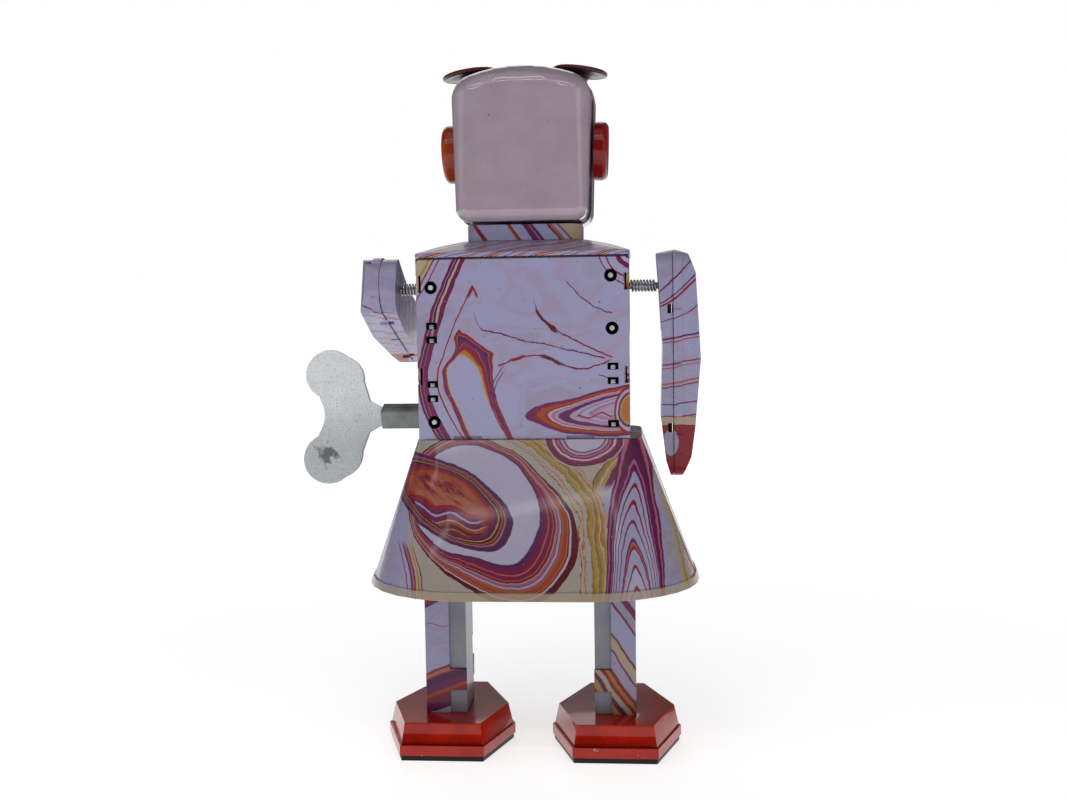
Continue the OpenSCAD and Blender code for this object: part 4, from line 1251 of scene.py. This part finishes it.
@dataclass
class Studio:
    """Pale floor, soft lights and the camera."""

    camera_mm: tuple[float, float, float] = (-22.996, 263.162, 93.198)
    yaw: float = 4.805
    pitch: float = -4.334
    roll: float = -0.897
    lens: float = 42.02
    surround: float = 0.1
    backdrop: float = 1.0
    glow_reach: tuple[float, float] = (130.0, 430.0)
    floor_half: float = 4.0
    lamps: tuple[Lamp, ...] = (Lamp("soft_light", (0.15, 0.3, 0.95), 0.6, 0.6, 0.6),
                               Lamp("near_tube", (0.0, 0.34, 0.62), 0.5, 0.9, 0.02),
                               Lamp("far_tube", (0.0, 0.5, 0.6), 0.5, 0.9, 0.02),
                               Lamp("right_light", (-0.8, 0.5, 0.4), 0.7, 0.5, 0.5),
                               Lamp("left_light", (0.8, 0.3, 0.4), 0.5, 0.5, 0.5),
                               Lamp("front_light", (0.2, -0.8, 0.6), 1.3, 0.6, 0.6))

    def build(self) -> None:
        """Sets the stage."""
        bpy.context.scene.view_settings.view_transform = "Standard"
        self.floor()
        self.lights()
        self.camera()

    def floor(self) -> None:
        """A pale sweep with fine grain that glows, dimmer near the robot and white far off."""
        bm = bmesh.new()
        bmesh.ops.create_grid(bm, x_segments=2, y_segments=2, size=self.floor_half)
        mesh = bpy.data.meshes.new("studio_floor")
        bm.to_mesh(mesh)
        bm.free()
        floor = bpy.data.objects.new("studio_floor", mesh)
        bpy.context.scene.collection.objects.link(floor)
        g = Graph("floor_paper")
        grain = g.noise(g.place, 0.4, 3.0)[0]
        # painted light: the floor glows, dimmer within reach of the robot and white far off, blending into the
        # backdrop
        far = (g.x * g.x + g.y * g.y).root().step(*self.glow_reach)
        g.shade(Base_Color=g.mix(grain, linear("f2f2f3"), linear("f6f6f6")), Roughness=0.85,
                Specular_IOR_Level=0.0, Emission_Strength=1.0,
                Emission_Color=g.mix(far, linear("d6d6d6"), linear("fafafa")))
        mesh.materials.append(g.material)

    def lights(self) -> None:
        """A white surround, soft panels and two tubes that draw thin lines of light on the lacquer."""
        world = bpy.data.worlds.new("white_surround")
        bpy.context.scene.world = world
        world.use_nodes = True
        tree = world.node_tree
        ground = tree.nodes["Background"]
        ground.inputs[0].default_value = (1, 1, 1, 1)
        rays = tree.nodes.new("ShaderNodeLightPath")
        level = tree.nodes.new("ShaderNodeMapRange")
        level.inputs[3].default_value = self.surround
        level.inputs[4].default_value = self.backdrop
        tree.links.new(rays.outputs["Is Camera Ray"], level.inputs[0])
        tree.links.new(level.outputs[0], ground.inputs[1])
        for lamp in self.lamps:
            lamp.hang()

    def camera(self) -> None:
        """The camera behind the robot, a little to its right."""
        data = bpy.data.cameras.new("camera")
        data.sensor_width = 36
        data.sensor_fit = "HORIZONTAL"
        data.lens = self.lens
        data.clip_start = 0.01
        cam = bpy.data.objects.new("camera", data)
        yaw, pitch, roll = (math.radians(a) for a in (self.yaw, self.pitch, self.roll))
        ahead = Vector((math.sin(yaw) * math.cos(pitch), -math.cos(yaw) * math.cos(pitch), math.sin(pitch)))
        right = ahead.cross(Vector((0, 0, 1))).normalized()
        up = right.cross(ahead)
        turned = math.cos(roll) * right + math.sin(roll) * up
        top = -math.sin(roll) * right + math.cos(roll) * up
        axes = Matrix((turned, top, -ahead)).transposed()
        cam.matrix_world = Matrix.Translation(Vector(self.camera_mm) * MM) @ axes.to_4x4()
        bpy.context.scene.collection.objects.link(cam)
        bpy.context.scene.camera = cam


def main() -> None:
    """Builds every sub-assembly in order."""
    logging.basicConfig(level=logging.INFO, format="%(message)s")
    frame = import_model()
    dresser = Dresser(frame)
    parts = [Head(dresser), Torso(dresser), Skirt(dresser)]
    parts += [Arm(dresser, side) for side in Side]
    parts += [Leg(dresser, side) for side in Side]
    parts += [Key(dresser), Clockwork(dresser), Studio()]
    for part in parts:
        part.build()
        log.info("%s built", type(part).__name__)


if __name__ == "__main__":
    main()
